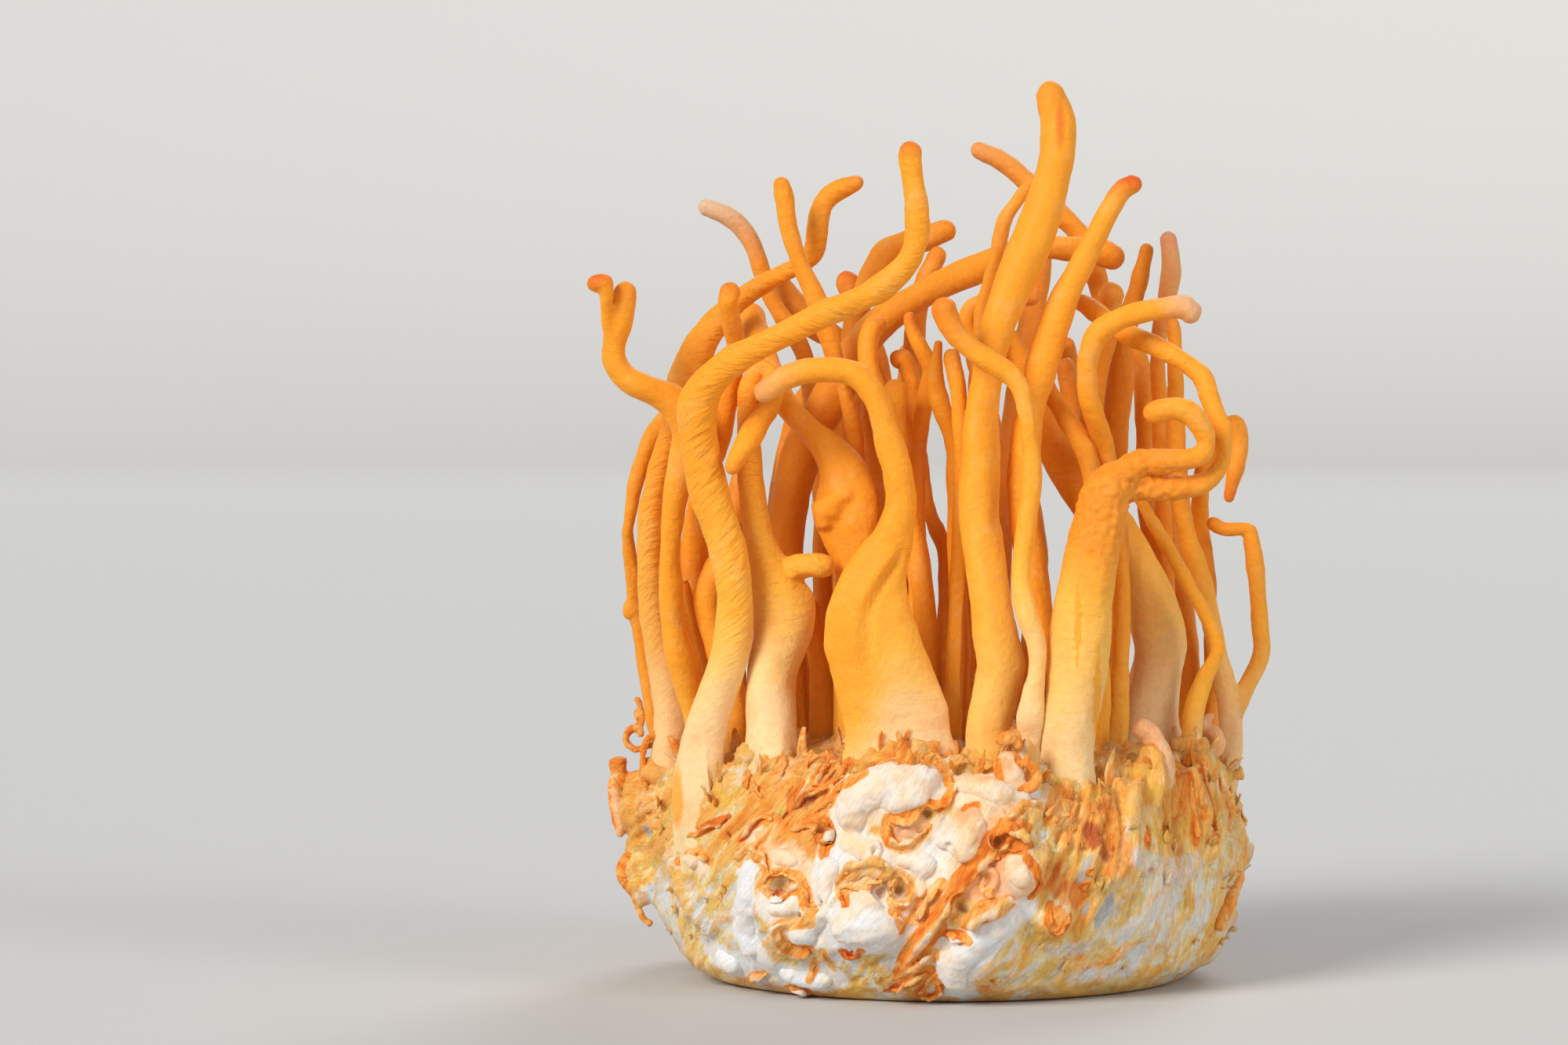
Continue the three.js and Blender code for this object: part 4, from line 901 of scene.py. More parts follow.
# %% The orange lips, ribs and torn edges: (across, up, radius) in mm
LIPS = [
    [(-2.4, 22.4, 0.21), (-1.6, 22.2, 0.3), (-0.5, 21.6, 0.33), (0.5, 20.5, 0.36), (1.2, 19, 0.36),
        (0.7, 17.7, 0.33), (-0.2, 17.2, 0.3), (-1.1, 17.5, 0.33), (-2, 16.8, 0.36), (-3.2, 16.1, 0.38),
        (-4.4, 15.9, 0.41), (-5.4, 16, 0.33)],  # dome rim
    [(-5.5, 15.6, 0.3), (-5.5, 14.5, 0.38), (-5, 13.5, 0.41), (-3.9, 13, 0.41), (-2.7, 13.4, 0.36),
        (-1.9, 14.3, 0.3), (-1.3, 15.1, 0.24)],  # tongue edge
    [(-12.4, 16.3, 0.21), (-11.6, 15.7, 0.27), (-11.2, 14.7, 0.27),
        (-11.2, 13.5, 0.21)],  # dome, left edge
    [(-11.2, 17.5, 0.21), (-10.6, 18.8, 0.3), (-9.2, 19.7, 0.33), (-7.9, 20.5, 0.36), (-6.9, 21.4, 0.3),
        (-5.4, 22, 0.3), (-4.1, 22.4, 0.24)],  # dome, upper edge
    [(2.4, 17.1, 0.18), (3.2, 17.5, 0.24), (3.8, 17.4, 0.18)],  # small arc
    [(6.3, 15, 0.59), (7.5, 15.1, 0.89), (8.5, 14.7, 0.89), (9, 13.7, 0.59)],  # strap head
    [(6.6, 15, 0.36), (5.3, 14.3, 0.44), (4.2, 12.8, 0.5), (2.9, 11.1, 0.5), (1.7, 9.7, 0.44)],  # strap 1
    [(7.9, 14.3, 0.36), (6.4, 13.5, 0.38), (4.7, 12.2, 0.44), (3.2, 10.4, 0.44),
        (2, 9.2, 0.38)],  # strap 2
    [(6.4, 15.7, 0.24), (7.8, 16.6, 0.3), (8.5, 17.4, 0.33), (9.7, 17.5, 0.33),
        (10.4, 17.2, 0.27)],  # arch beside the strap
    [(-12.8, 16.6, 0.24), (-11.9, 17.2, 0.3), (-11.2, 18.7, 0.27), (-10.1, 20.3, 0.24),
        (-9.2, 21.6, 0.21)],  # streak 1
    [(-12.8, 19, 0.27), (-11.6, 20, 0.3), (-10.6, 21.1, 0.27), (-10, 22.5, 0.21)],  # streak 2
    [(-10.6, 20.3, 0.24), (-9.7, 21.5, 0.24), (-9.1, 22.2, 0.18)],  # streak 3
    [(-10.4, 8.9, 0.28), (-9.7, 9.6, 0.52), (-8.7, 10.4, 0.8), (-7.1, 10.8, 0.99), (-5.9, 10.4, 0.88),
        (-5.4, 9.4, 0.52)],  # hood
    [(-10.5, 8.8, 0.24), (-8.9, 9.1, 0.32), (-7.1, 9.3, 0.32), (-5.3, 9.1, 0.28)],  # hood, lower rim
    [(-10.4, 8.7, 0.28), (-9.9, 7.9, 0.36), (-9.7, 7.2, 0.24)],  # hood, strip
    [(-5.1, 7.8, 0.32), (-5.1, 9.4, 0.36), (-4.3, 10.3, 0.36), (-3.4, 9.6, 0.4), (-2.9, 8.2, 0.4),
        (-3.5, 7.2, 0.4), (-4.5, 6.9, 0.36), (-5, 7.6, 0.32)],  # cup
    [(-4.9, 6.4, 0.32), (-4.3, 5.4, 0.52), (-4.1, 4.6, 0.28)],  # cup leg
    [(-18.3, 9.2, 0.28), (-17.6, 10.2, 0.36), (-16, 10.4, 0.4), (-14.6, 9.8, 0.4), (-14.6, 8.6, 0.36),
        (-15.8, 8.1, 0.32), (-17.2, 8.1, 0.32), (-18.2, 9, 0.28)],  # pocket rim
    [(-14.6, 10, 0.44), (-13.9, 8.6, 0.48), (-13.8, 7.4, 0.52), (-13.2, 6.5, 0.52), (-13.4, 5.5, 0.52),
        (-14.6, 5.2, 0.44), (-16, 5.1, 0.44), (-16.7, 4.7, 0.48), (-16.6, 3.9, 0.6), (-15.6, 3.1, 0.68),
        (-14.2, 2.6, 0.64), (-13.4, 2.8, 0.48)],  # fold ribbon
    [(-20.7, 11.6, 0.4), (-20.2, 12.5, 0.56), (-19.2, 12.7, 0.64), (-18.3, 12, 0.6), (-17.8, 11, 0.44),
        (-17.6, 10.4, 0.32)],  # arch over the fold
    [(-12.1, 2.4, 0.18), (-11.6, 1.5, 0.24), (-11, 0.6, 0.18)],  # stick
    [(-12.6, 1.5, 0.2), (-13, 0.5, 0.28), (-13.4, -0.6, 0.2)],  # leaf
    [(-10, 2.4, 0.24), (-9.5, 1.9, 0.32), (-8.7, 2, 0.28), (-8.1, 2.4, 0.2)],  # arc under the belly
    [(0.5, 4.4, 0.24), (1.5, 4, 0.52), (2.3, 3.7, 0.44), (2.9, 3.4, 0.24)],  # curl, point
    [(2.7, 5.2, 0.6), (3.5, 6.2, 0.88), (4.7, 6.6, 0.99), (5.9, 6.8, 0.88), (6.9, 7.4, 0.52)],  # curl
    [(2.7, 10.2, 0.52), (1.7, 8.8, 0.6), (0.5, 7, 0.64), (-0.9, 5, 0.68), (-2.3, 3.3, 0.68),
        (-3.5, 1.7, 0.6), (-4.2, 0.3, 0.44)],  # great fold 1
    [(0.1, 9.2, 0.48), (-0.9, 8, 0.56), (-1.9, 6.8, 0.52), (-2.8, 5.6, 0.4)],  # great fold 2
    [(-0.1, 5.2, 0.52), (-1.3, 3.6, 0.6), (-2.5, 2.1, 0.56), (-3.5, 0.5, 0.44)],  # great fold 3
    [(-0.7, 2.1, 0.48), (-1.9, 1.3, 0.56), (-3.3, 0.3, 0.52), (-4.3, -0.5, 0.36)],  # great fold 4
    [(-1.1, 0.5, 0.44), (-2.5, -0.5, 0.52), (-4.1, -1.3, 0.44), (-5.3, -1.6, 0.32)],  # great fold 5
    [(-2.4, -2, 0.2), (-1.5, -1, 0.26), (-0.4, 0.1, 0.26), (0, -1.1, 0.28), (-0.2, -2, 0.24),
        (-1.2, -2.1, 0.24), (-2.3, -2, 0.2)],  # triangle
    [(2.8, 9.9, 0.28), (4.1, 11.2, 0.32), (5.5, 12.2, 0.36), (6.9, 12.9, 0.36),
        (8.5, 12.8, 0.28)],  # torn sheet, upper edge
    [(4.1, 9.2, 0.28), (4.9, 8.4, 0.36), (5.7, 7.8, 0.32)],  # torn sheet, lower edge
    [(8.8, 12, 0.24), (9.8, 10.8, 0.32), (10.1, 9.2, 0.28), (9.4, 8, 0.24)],  # torn sheet, right edge
    [(-15.3, -1.3, 0.4), (-14.4, -1.4, 0.56), (-13, -2, 0.36)],  # low patch 1
    [(-19.8, -0.7, 0.28), (-18.8, -0.1, 0.36), (-17.8, 0.2, 0.24)],  # low patch 2
    [(25.3, 20.3, 0.28), (25.6, 18.1, 0.32), (25.9, 15.8, 0.35), (26, 13.7, 0.28)],  # rib 1
    [(26.8, 21.6, 0.38), (26.8, 19.7, 0.44), (27.4, 17.8, 0.41), (28, 15.8, 0.38),
        (28.2, 14, 0.32)],  # rib 2
    [(28.4, 20.3, 0.35), (28.9, 18.4, 0.41), (29.4, 16.5, 0.41), (29.6, 15, 0.32)],  # rib 3
    [(24, 21.6, 0.32), (24.3, 19.7, 0.35), (24.6, 17.5, 0.32)],  # rib 4
    [(26.2, 20.3, 0.28), (26.7, 18.3, 0.32), (27, 16.5, 0.28)],  # rib 5
    [(13.7, 18.4, 0.22), (13.6, 16.9, 0.25), (13.1, 15.3, 0.22)],  # fan 1
    [(12.3, 18.4, 0.22), (11.3, 16.9, 0.25), (10.4, 15.6, 0.22)],  # fan 2
    [(15.1, 17.2, 0.22), (15.3, 15.6, 0.25), (15.1, 13.7, 0.22)],  # fan 3
    [(16.4, 17.7, 0.22), (16.7, 15.8, 0.25), (17.4, 14, 0.22), (17.2, 12.1, 0.19)],  # fan 4
    [(21.2, 14.8, 0.28), (21.1, 13.9, 0.38), (21.3, 13.1, 0.19)],  # fleck
    [(-20.4, 13.9, 0.3), (-19.6, 15.2, 0.4), (-18.3, 16.1, 0.45), (-16.9, 16, 0.35)],  # left shells
    [(-19, 13, 0.3), (-17.9, 14.2, 0.4), (-17.4, 15.4, 0.3)],  # left shells 2
    [(-26.7, 11.7, 0.3), (-25.9, 12.7, 0.4), (-24.5, 12.8, 0.4), (-23.6, 11.7, 0.3)],  # left shells 3
    [(-15.3, 16.8, 0.3), (-13.9, 18.1, 0.45), (-12.2, 19, 0.5), (-10.3, 19.8, 0.45),
        (-7.8, 20.5, 0.35)],  # upper ruffle
    [(-15.6, 14.9, 0.3), (-14.3, 15.3, 0.4), (-12.9, 15.1, 0.45), (-11.8, 13.8, 0.45),
        (-11.9, 12.2, 0.3)],  # upper ruffle 2
    [(-17, 19.1, 0.3), (-16.4, 20.3, 0.4), (-16.1, 22, 0.3)],  # upper ruffle 3
    [(-14.3, 19.6, 0.3), (-15, 18.5, 0.4), (-15.2, 17, 0.35)],  # upper ruffle 4
    [(-13.3, 19.3, 0.3), (-12.3, 20.4, 0.4), (-11.3, 21.5, 0.3)],  # upper ruffle 5
    [(-21.8, 16.1, 0.3), (-23.7, 15.1, 0.35), (-25.5, 14.2, 0.3), (-26.7, 13, 0.3)],  # upper ruffle 6
    [(-19.7, 20.5, 0.3), (-19, 18.9, 0.35), (-18, 17.9, 0.3)],  # upper ruffle 7
    [(13.5, 1.2, 0.15), (15, 0.7, 0.25), (17.5, 1.4, 0.25), (19, 3.2, 0.15)],  # low streak
    [(11.2, 7.2, 0.2), (11.1, 5.6, 0.3), (11.9, 4.1, 0.3), (12.7, 5, 0.25),
        (13.2, 6, 0.2)],  # right triangle
]
print(len(LIPS), "lips")

# %% Hollows (across, up, reach, depth) and patches of colour, each a chain of (across, up, radius), in mm
PITS = [
    (-1.3, 16.3, 0.9, 1.8), (-16.6, 9.1, 1.5, 1.6), (-6.1, 8.4, 1.1, 1.4), (-4, 8.6, 0.9, 1.6),
    (2.1, 7, 1.4, 1.8), (5.8, 13.7, 0.9, 1.2), (-12.8, 7.2, 1.0, 1.2), (0.9, 13.2, 0.5, 0.5),
    (-11.8, 14.2, 1.2, 1.0), (-6.6, 12.7, 0.7, 0.8), (4.6, 9.6, 1.1, 0.8),
]
PATCHES = {
    "fresh": [
        [(-28.6, 10.4, 2), (-27.6, 6.9, 2.4), (-26.9, 4.3, 2.2)],
        [(-25.5, 9, 1.4), (-24.1, 6.2, 1.5), (-23.7, 3.9, 1.6)],
        [(-15, -1.1, 2.6), (-12.2, 0.3, 2.2), (-10.8, 1.5, 1.8)],
        [(10, 2.7, 1.6), (13.5, 2.7, 1.8), (17.5, 4, 1.8), (21, 5.5, 2.2), (24, 8.7, 2.4)],
        [(20.5, 12, 2), (23, 10.2, 2.6), (26, 11.2, 2.2)],
        [(13.5, -0.3, 1.6), (18.5, 0.7, 1.8), (23.5, 3.2, 2), (26, 5.5, 1.6)],
        [(20, 15.7, 1.2), (21, 13.7, 1.4)], [(21.2, 16.9, 1.2), (22, 17.2, 1)],
    ],
    "bare": [
        [(15.4, 12, 0.5), (14.9, 10.9, 0.65), (14.3, 9.7, 0.35)],
        [(17.2, 8, 0.6), (17.6, 7, 0.6), (16.4, 6.2, 0.7), (15.6, 4.7, 0.5)],
        [(20.8, 9.7, 0.35), (20.8, 9, 0.3)], [(-30, 15.1, 0.5), (-29.8, 14.2, 0.4)],
        [(15.2, 7.4, 0.4), (14.8, 6.4, 0.3)],
    ],
    # The deep patches: painted shade in small pits and pockets, over their own deeper orange.
    "deep": [
        [(15.3, 14.8, 0.9), (15.9, 13.4, 0.9), (17, 12, 0.6)], [(21.6, 10.7, 0.5)],
        [(-13.3, 18.2, 0.8), (-14.3, 17.5, 0.7)], [(-3.7, 24.7, 0.7), (-3.6, 23.3, 0.8)],
        [(-21.5, 16.1, 0.4)], [(16.9, 18.4, 0.4), (16.2, 17, 0.4)],
        [(-16.9, 8.9, 0.8), (-15.9, 9.2, 0.7)], [(-6.7, 8.6, 0.5), (-5.9, 8.2, 0.4)],
    ],
    "orange": [
        [(12, 17.4, 2.2), (14, 15.2, 2.4), (16.5, 15.2, 2.2), (18, 11.7, 1.8)],
        [(11.5, 10.2, 1.6), (13.5, 8.4, 1.6)], [(12, 6, 1.2), (12.5, 5.2, 1)], [(-19, -1.3, 0.7)],
        [(3.5, -1.2, 0.7), (5.8, -1.4, 0.6)],
        [(-16.6, 14.7, 1.5), (-14.7, 12.3, 1.6), (-13.3, 14.2, 1.6), (-14.7, 16.1, 1.4)],
        [(-29.8, 17.9, 1.4), (-30, 16.1, 1.2)],
        [(-16.1, 20.3, 1.4), (-14.3, 21.5, 1.3), (-11, 22.2, 1.2)],
    ],
    "yellow": [
        [(-9.8, -0.4, 1.6), (-7.9, -1.8, 1.5)], [(10, 4, 1.2), (11.5, 3.2, 1.2)],
        [(18, 5.2, 1), (18.5, 6, 1)], [(11, -1.1, 1.6), (15, -1.3, 1.6), (19, -1.1, 1.6)],
        [(19, 10.2, 1.4), (17.5, 9.2, 1.3)], [(-29.1, 11.8, 1), (-27.9, 10.4, 1)], [(-26.9, 3.4, 1)],
    ],
}
print(len(PITS), "hollows and", sum(len(chains) for chains in PATCHES.values()), "patches")

# %% [markdown]
# ## The body and the folds
# The solid's soft shape gets a collar round every foot and is remeshed, which closes them into one skin. The
# pillows are laid on it, then the lips on both. The front is the part that is looked at, so its folds are a
# piece of their own with finer faces. The sides and the back, which the photograph doesn't show, get pillows
# and lips of the same kind at seeded random places.

# %% Make the body
ROUGH_FACES_MM, BODY_FACES_MM = 0.7, 0.38
COLLAR_WIDER = 1.08
COLLAR_MARGIN = 0.4 * MM
COLLAR_RISE_MM = 0.3
COLLAR_FLATNESS = 0.42


def new_skin(piece, faces_mm, rounds, factor=0.5):
    """Closes a piece into one skin with faces of the same size all over, and smooths it."""
    apply(piece, "REMESH", mode="VOXEL", voxel_size=faces_mm * MM)
    apply(piece, "SMOOTH", factor=factor, iterations=rounds)


cake = copy_of("cake", "skin_cake")
new_skin(cake, ROUGH_FACES_MM, 14, 0.6)
added = []
for node, (middle, heading, radius) in feet.items():
    if node in HOSTS or node in LONG_FEET:
        continue
    size = radius * COLLAR_WIDER + COLLAR_MARGIN
    bpy.ops.mesh.primitive_uv_sphere_add(segments=20, ring_count=12, radius=size)
    collar = bpy.context.object
    turned = heading.to_track_quat("Z", "Y").to_matrix().to_4x4()
    there = Matrix.Translation(middle + heading * COLLAR_RISE_MM * MM)
    collar.data.transform(there @ turned @ Matrix.Diagonal((1, 1, COLLAR_FLATNESS, 1)))
    added.append(collar)
cake = join(cake, added)
new_skin(cake, BODY_FACES_MM, 4)
body = tree_of(cake.data)
print("body", len(cake.data.polygons), "faces with", len(added), "collars")

# %% Lay the pillows on the body
PILLOW_SINK = -0.2
PILLOW_MARGIN = 0.4
PILLOW_FACES_MM = 0.3
marks = []


def mark(kind, places, radii, margin=0.0, shade=0.0):
    """Notes that the felt is of this kind and shade along a chain, as far out as its radii and a margin."""
    marks.append((kind, np.array([list(p) for p in places]) / MM, np.array(radii) + margin, shade))


pillows = []
for cream, points in PILLOWS:
    places, radii = laid_on([body], points, PILLOW_SINK)
    if len(places) > 1:
        pillows.append(strand(places, radii))
        mark("white", places, radii, PILLOW_MARGIN, cream)
front = join(pillows[0], pillows[1:])
front.name = "front_folds"
new_skin(front, PILLOW_FACES_MM, 12)
swollen = tree_of(front.data)
print(len(pillows), "pillows laid,", len(front.data.polygons), "faces")

# %% Lay the lips on the body and the pillows
LIP_LIFT = 0.15
LIP_MARGIN = 0.22
LIP_SHADES = (0.0, 0.3, 0.6, 1.0)
FRONT_FACES_MM = 0.185
FRONT_ROUGHNESS_MM = 0.4

added = []
work = random.Random(8)
for points in LIPS:
    rows = [(*hit_from_front([body, swollen], across, up), radius) for across, up, radius in points]
    rows = [(place + normal * radius * LIP_LIFT * MM, normal, radius)
            for place, normal, radius in rows if place]
    if len(rows) > 1:
        added += lip(rows, work)
        places, _, radii = zip(*rows)
        mark("lip", places, radii, LIP_MARGIN, work.choice(LIP_SHADES))
front = join(front, added)
new_skin(front, FRONT_FACES_MM, 3)
roughen(front, wrinkles, FRONT_ROUGHNESS_MM)
print("front folds", len(front.data.polygons), "faces")

# %% The same on the sides and the back
SIDE_TURNS = range(96, 266, 8)
PILLOW_STEP_DEGREES, PILLOW_STEP_MM = 5, 2.4
LIP_STEP_DEGREES, LIP_STEP_MM = 2.6, 1.4
SIDE_LIP_HEIGHTS = (1.5, 20)
SIDE_MARGIN = 0.5
SIDE_SHADES = (0.1, 0.3, 0.6, 0.9)
SIDE_FACES_MM = 0.27
side = random.Random(4)


def side_lip(near, turn, height, lean):
    """A lip of five points beside a pillow, with a bow in it."""
    bow = side.uniform(-0.5, 0.5)
    low, high = SIDE_LIP_HEIGHTS
    heights = [height + lean * LIP_STEP_MM * k + bow * (k - 2) ** 2 for k in range(5)]
    hits = [hit_from_side(near, turn + LIP_STEP_DEGREES * (k - 0.5), max(low, min(high, up)))
            for k, up in enumerate(heights)]
    radii = [0.22, side.uniform(0.3, 0.5), side.uniform(0.35, 0.6), side.uniform(0.3, 0.5), 0.2]
    rows = [(place + normal * 0.1 * MM, normal, radius) for (place, normal), radius in zip(hits, radii)]
    strands = lip(rows, side)
    mark("lip", [row[0] for row in rows], radii, LIP_MARGIN, side.random())
    return strands


pillows, added = [], []
for turn in SIDE_TURNS:
    turn += side.uniform(-4, 4)
    height, lean, radius = side.uniform(4, 17.5), side.uniform(-1, 1), side.uniform(1.2, 2.2)
    cream = side.choice(SIDE_SHADES)
    chain = [hit_from_side([body], turn + PILLOW_STEP_DEGREES * k, height + lean * PILLOW_STEP_MM * k)
             for k in range(3)]
    radii = [radius * 0.8, radius, radius * 0.7]
    places = [place - normal * 0.15 * radius * MM for place, normal in chain]
    pillows.append(strand(places, radii))
    mark("white", places, radii, SIDE_MARGIN, cream)
    near = [body, tree_of(pillows[-1].data)]
    for step in (0.6 * radius, -0.8 * radius, side.uniform(3, 5), side.uniform(-5, -3)):
        added += side_lip(near, turn, height + step, lean)
sides = join(pillows[0], pillows[1:] + added)
sides.name = "side_folds"
new_skin(sides, SIDE_FACES_MM, 2)
print("side folds", len(sides.data.polygons), "faces")

# %% [markdown]
# ## Crumpled felt
# Between the pillows the felt is crumpled. Its ruffles and torn plates lie along a slant: up to the right on
# the left side, straight up on the right side. So each corner gets a place in a twisted block of space, and
# noise in that block, stretched along the slant, gives the relief here and the streaks of colour later.
# Ridged noise makes ruffles about 2 mm apart, and the tilted cells of a Voronoi pattern make the plates.

# %% Helpers for the crumpled relief
RUFFLE_MM = 2.3
SMALL_RUFFLE_MM = 1.0
PLATE_MM = 2.6
BIG_SHARPNESS, SMALL_SHARPNESS = 3.4, 3.0
PLATE_TILT = 2.4
PLATES_DIFFER = 7.3
SWIRL_MM, SWIRL_REACH_MM = 4.0, 1.3
BIG_SHARE, SMALL_SHARE, PLATE_SHARE = 0.42, 0.2, 0.5
LOWEST = -0.6
PLATE_LIMIT = 0.7
SLANT = 0.7
STREAK_STRETCH = 0.36
noise.seed_set(2)  # without this, noise_vector differs from run to run


def flow_of(places):
    """Each place, in mm, in a block twisted about the cake's axis and squeezed along its height."""
    x, y, z = places[:, 0] - CAKE_MIDDLE_X, places[:, 1], places[:, 2]
    turn = np.arctan2(x, -y)
    twist = turn - z / 30 * SLANT * (1 - np.sin(turn))
    far = np.hypot(x, y)
    return np.stack([far * np.sin(twist), -far * np.cos(twist), z * STREAK_STRETCH], axis=1)


def crumple(place):
    """The height of the ruffles and plates at a place of the twisted block, about -1 to 1."""
    q = Vector(place)
    q += noise.noise_vector(q / SWIRL_MM) * SWIRL_REACH_MM
    big = 1 - abs(noise.noise(q / RUFFLE_MM)) * BIG_SHARPNESS
    small = 1 - abs(noise.noise(q / SMALL_RUFFLE_MM)) * SMALL_SHARPNESS
    cell = noise.voronoi(q / PLATE_MM)[1][0]
    plate = (q / PLATE_MM - cell) @ noise.noise_vector(cell * PLATES_DIFFER) * PLATE_TILT
    plate = max(-PLATE_LIMIT, min(PLATE_LIMIT, plate))
    return BIG_SHARE * max(big, LOWEST) + SMALL_SHARE * max(small, LOWEST) + PLATE_SHARE * plate


print("crumples of", RUFFLE_MM, "and", SMALL_RUFFLE_MM, "mm")

# %% Helpers that tell a corner what marks it is near and how deep it lies
SHADE_BLEND_MM = 0.6


def near_marks(places, kind, soft):
    """0.5 on the edge of the marks of a kind, 1 well inside, 0 well outside; and the blended shade there."""
    best = np.full(len(places), 1e3)
    weight = np.full(len(places), 1e-6)
    shades = np.zeros(len(places))
    for name, chain, radii, shade in marks:
        if name != kind:
            continue
        reach = radii.max() + 2 * soft + 1
        box = np.all((places > chain.min(axis=0) - reach) & (places < chain.max(axis=0) + reach), axis=1)
        here = places[box]
        close = np.full(len(here), 1e3)
        alone = [(chain[0], chain[0], radii[0], radii[0])]
        for a, b, ra, rb in list(zip(chain, chain[1:], radii, radii[1:])) or alone:
            share = np.clip((here - a) @ (b - a) / max((b - a) @ (b - a), 1e-9), 0, 1)
            gap = np.linalg.norm(here - a - share[:, None] * (b - a), axis=1) - (ra + (rb - ra) * share)
            close = np.minimum(close, gap)
        best[box] = np.minimum(close, best[box])
        share = np.exp(-np.clip(close, -3, 6) / SHADE_BLEND_MM)
        weight[box] += share
        shades[box] += share * shade
    return np.clip(0.5 - best / (2 * soft), 0, 1), shades / weight


def dents(mesh, rounds):
    """How far, in mm, each corner lies below the average of its surroundings; crests are negative."""
    ends = np.zeros(len(mesh.edges) * 2, int)
    mesh.edges.foreach_get("vertices", ends)
    a, b = ends.reshape(-1, 2).T
    here = corners(mesh)
    soft = here.copy()
    share = np.bincount(ends, minlength=len(here))[:, None] + 1
    for _ in range(rounds):
        total = [np.bincount(a, soft[b, k], len(here)) + np.bincount(b, soft[a, k], len(here))
                 for k in range(3)]
        soft = (soft + np.stack(total, axis=1)) / share
    return ((soft - here) * corners(mesh, "normal")).sum(axis=1) / MM


print("mark and dent helpers ready")

# %% Mark the patches and find the hollows
PATCH_SHADE = 0.15
HOLLOW_CORE = 0.3

for kind, chains in PATCHES.items():
    for points in chains:
        places, radii = laid_on([body, swollen], points, 0.0)
        if places:
            mark(kind, places, radii, shade=PATCH_SHADE)
hollows = [(hit_from_front([body, swollen], across, up)[0], reach, depth)
           for across, up, reach, depth in PITS]
# The core of each pit is marked deep: painted shade over its deeper orange.
for place, reach, depth in hollows:
    mark("deep", [place], [reach * HOLLOW_CORE])
print(len(marks), "marks")

# %% Crumple each piece of felt, press the hollows in, and store its numbers
MARK_EDGES = {"white": 0.9, "lip": 0.35, "deep": 0.5, "bare": 0.4, "yellow": 1.6, "orange": 1.2, "fresh": 1.2}
FINE_ROUNDS, BROAD_ROUNDS = 6, 45
FULL_HOLLOWS_MM = (0.12, 0.6)  # how deep a fine and a broad dent is that counts in full
FULL_CRESTS_MM = (0.10, 0.5)
CALM_WHITE, CALM_LIP = 0.8, 0.6
LOW_WALL_MM, WALL_BLEND_MM = 8, 6
GROUND_MM = 0.03
CRUMPLES_MM = ((cake, 0.95, 0.5), (front, 0.45, 0.3), (sides, 0.5, 0.35))  # high up, and on the low wall


def store_felt(piece):
    """What the felt's finish reads from the mesh."""
    mesh = piece.data
    places = corners(mesh) / MM
    flow = mesh.attributes.new("flow_mm", "FLOAT_VECTOR", "POINT")
    flow.data.foreach_set("vector", flow_of(places).ravel())
    for kind, soft in MARK_EDGES.items():
        value, shade = near_marks(places, kind, soft)
        store(mesh, kind, value)
        if kind in ("white", "lip"):
            store(mesh, kind + "_shade", shade)
    fine, broad = dents(mesh, FINE_ROUNDS), dents(mesh, BROAD_ROUNDS)
    # hollow marks the dents, which the finish paints darker as shade.
    small, wide = FULL_HOLLOWS_MM
    store(mesh, "hollow", np.clip(fine / small, 0, 1) * 0.5 + np.clip(broad / wide, 0, 1) * 0.5)
    small, wide = FULL_CRESTS_MM
    store(mesh, "crest", np.clip(-fine / small, 0, 1) * 0.6 + np.clip(-broad / wide, 0, 1) * 0.4)


def crumple_piece(piece, height_mm, low_height_mm):
    mesh = piece.data
    places = corners(mesh) / MM
    white, _ = near_marks(places, "white", 0.9)
    lipped, _ = near_marks(places, "lip", 0.4)
    up_wall = np.clip((places[:, 2] - LOW_WALL_MM) / WALL_BLEND_MM, 0, 1)
    height = low_height_mm + (height_mm - low_height_mm) * up_wall
    height *= (1 - CALM_WHITE * white) * (1 - CALM_LIP * lipped) * np.clip((places[:, 2] - 0.2) / 1.5, 0, 1)
    lift = np.array([crumple(q) for q in flow_of(places)]) * height
    for place, reach, depth in hollows:
        far = np.linalg.norm(places - np.array(place) / MM, axis=1) / reach
        lift -= depth * np.clip(1 - far ** 2, 0, 1) ** 1.5
    swell(mesh, lift)


for piece, high, low in CRUMPLES_MM:
    crumple_piece(piece, high, low)
    edit_all(piece)
    bpy.ops.mesh.bisect(plane_co=(0, 0, GROUND_MM * MM), plane_no=(0, 0, 1), use_fill=True,
                        clear_inner=True, threshold=1e-7)
    bpy.ops.object.mode_set(mode="OBJECT")
    store_felt(piece)
    lowest = corners(piece.data)[:, 2].min() / MM
    print(piece.name, len(piece.data.polygons), "faces, lowest", round(lowest, 2), "mm")

# %% [markdown]
# ## The felt's colours
# The threads are white and slightly blue where they are fresh, cream and yellow where they dry, and orange
# where they start to make clubs. The ground colour wanders between these over about 5 mm, more orange towards
# the rim. Streaks 1 mm wide follow the slant and fray the edge of every mark, so that no two colours meet in
# a clean line. Crests are orange, as where threads dry out. Hollows are painted darker as shade, and pits and
# pockets dark red-brown: their deeper orange with painted shade over it. The surface is dull and soft, with a
# little light going into it. A single thread is finer than a tenth of a millimetre and is drawn at 0.4 mm, so
# that it shows.

# %% Begin the finish of the cake with its patterns
CLOUD_MM = 5.0
STREAK_MM = 1.1
VEIL_MM = 2.6
THREAD_MM = 0.4

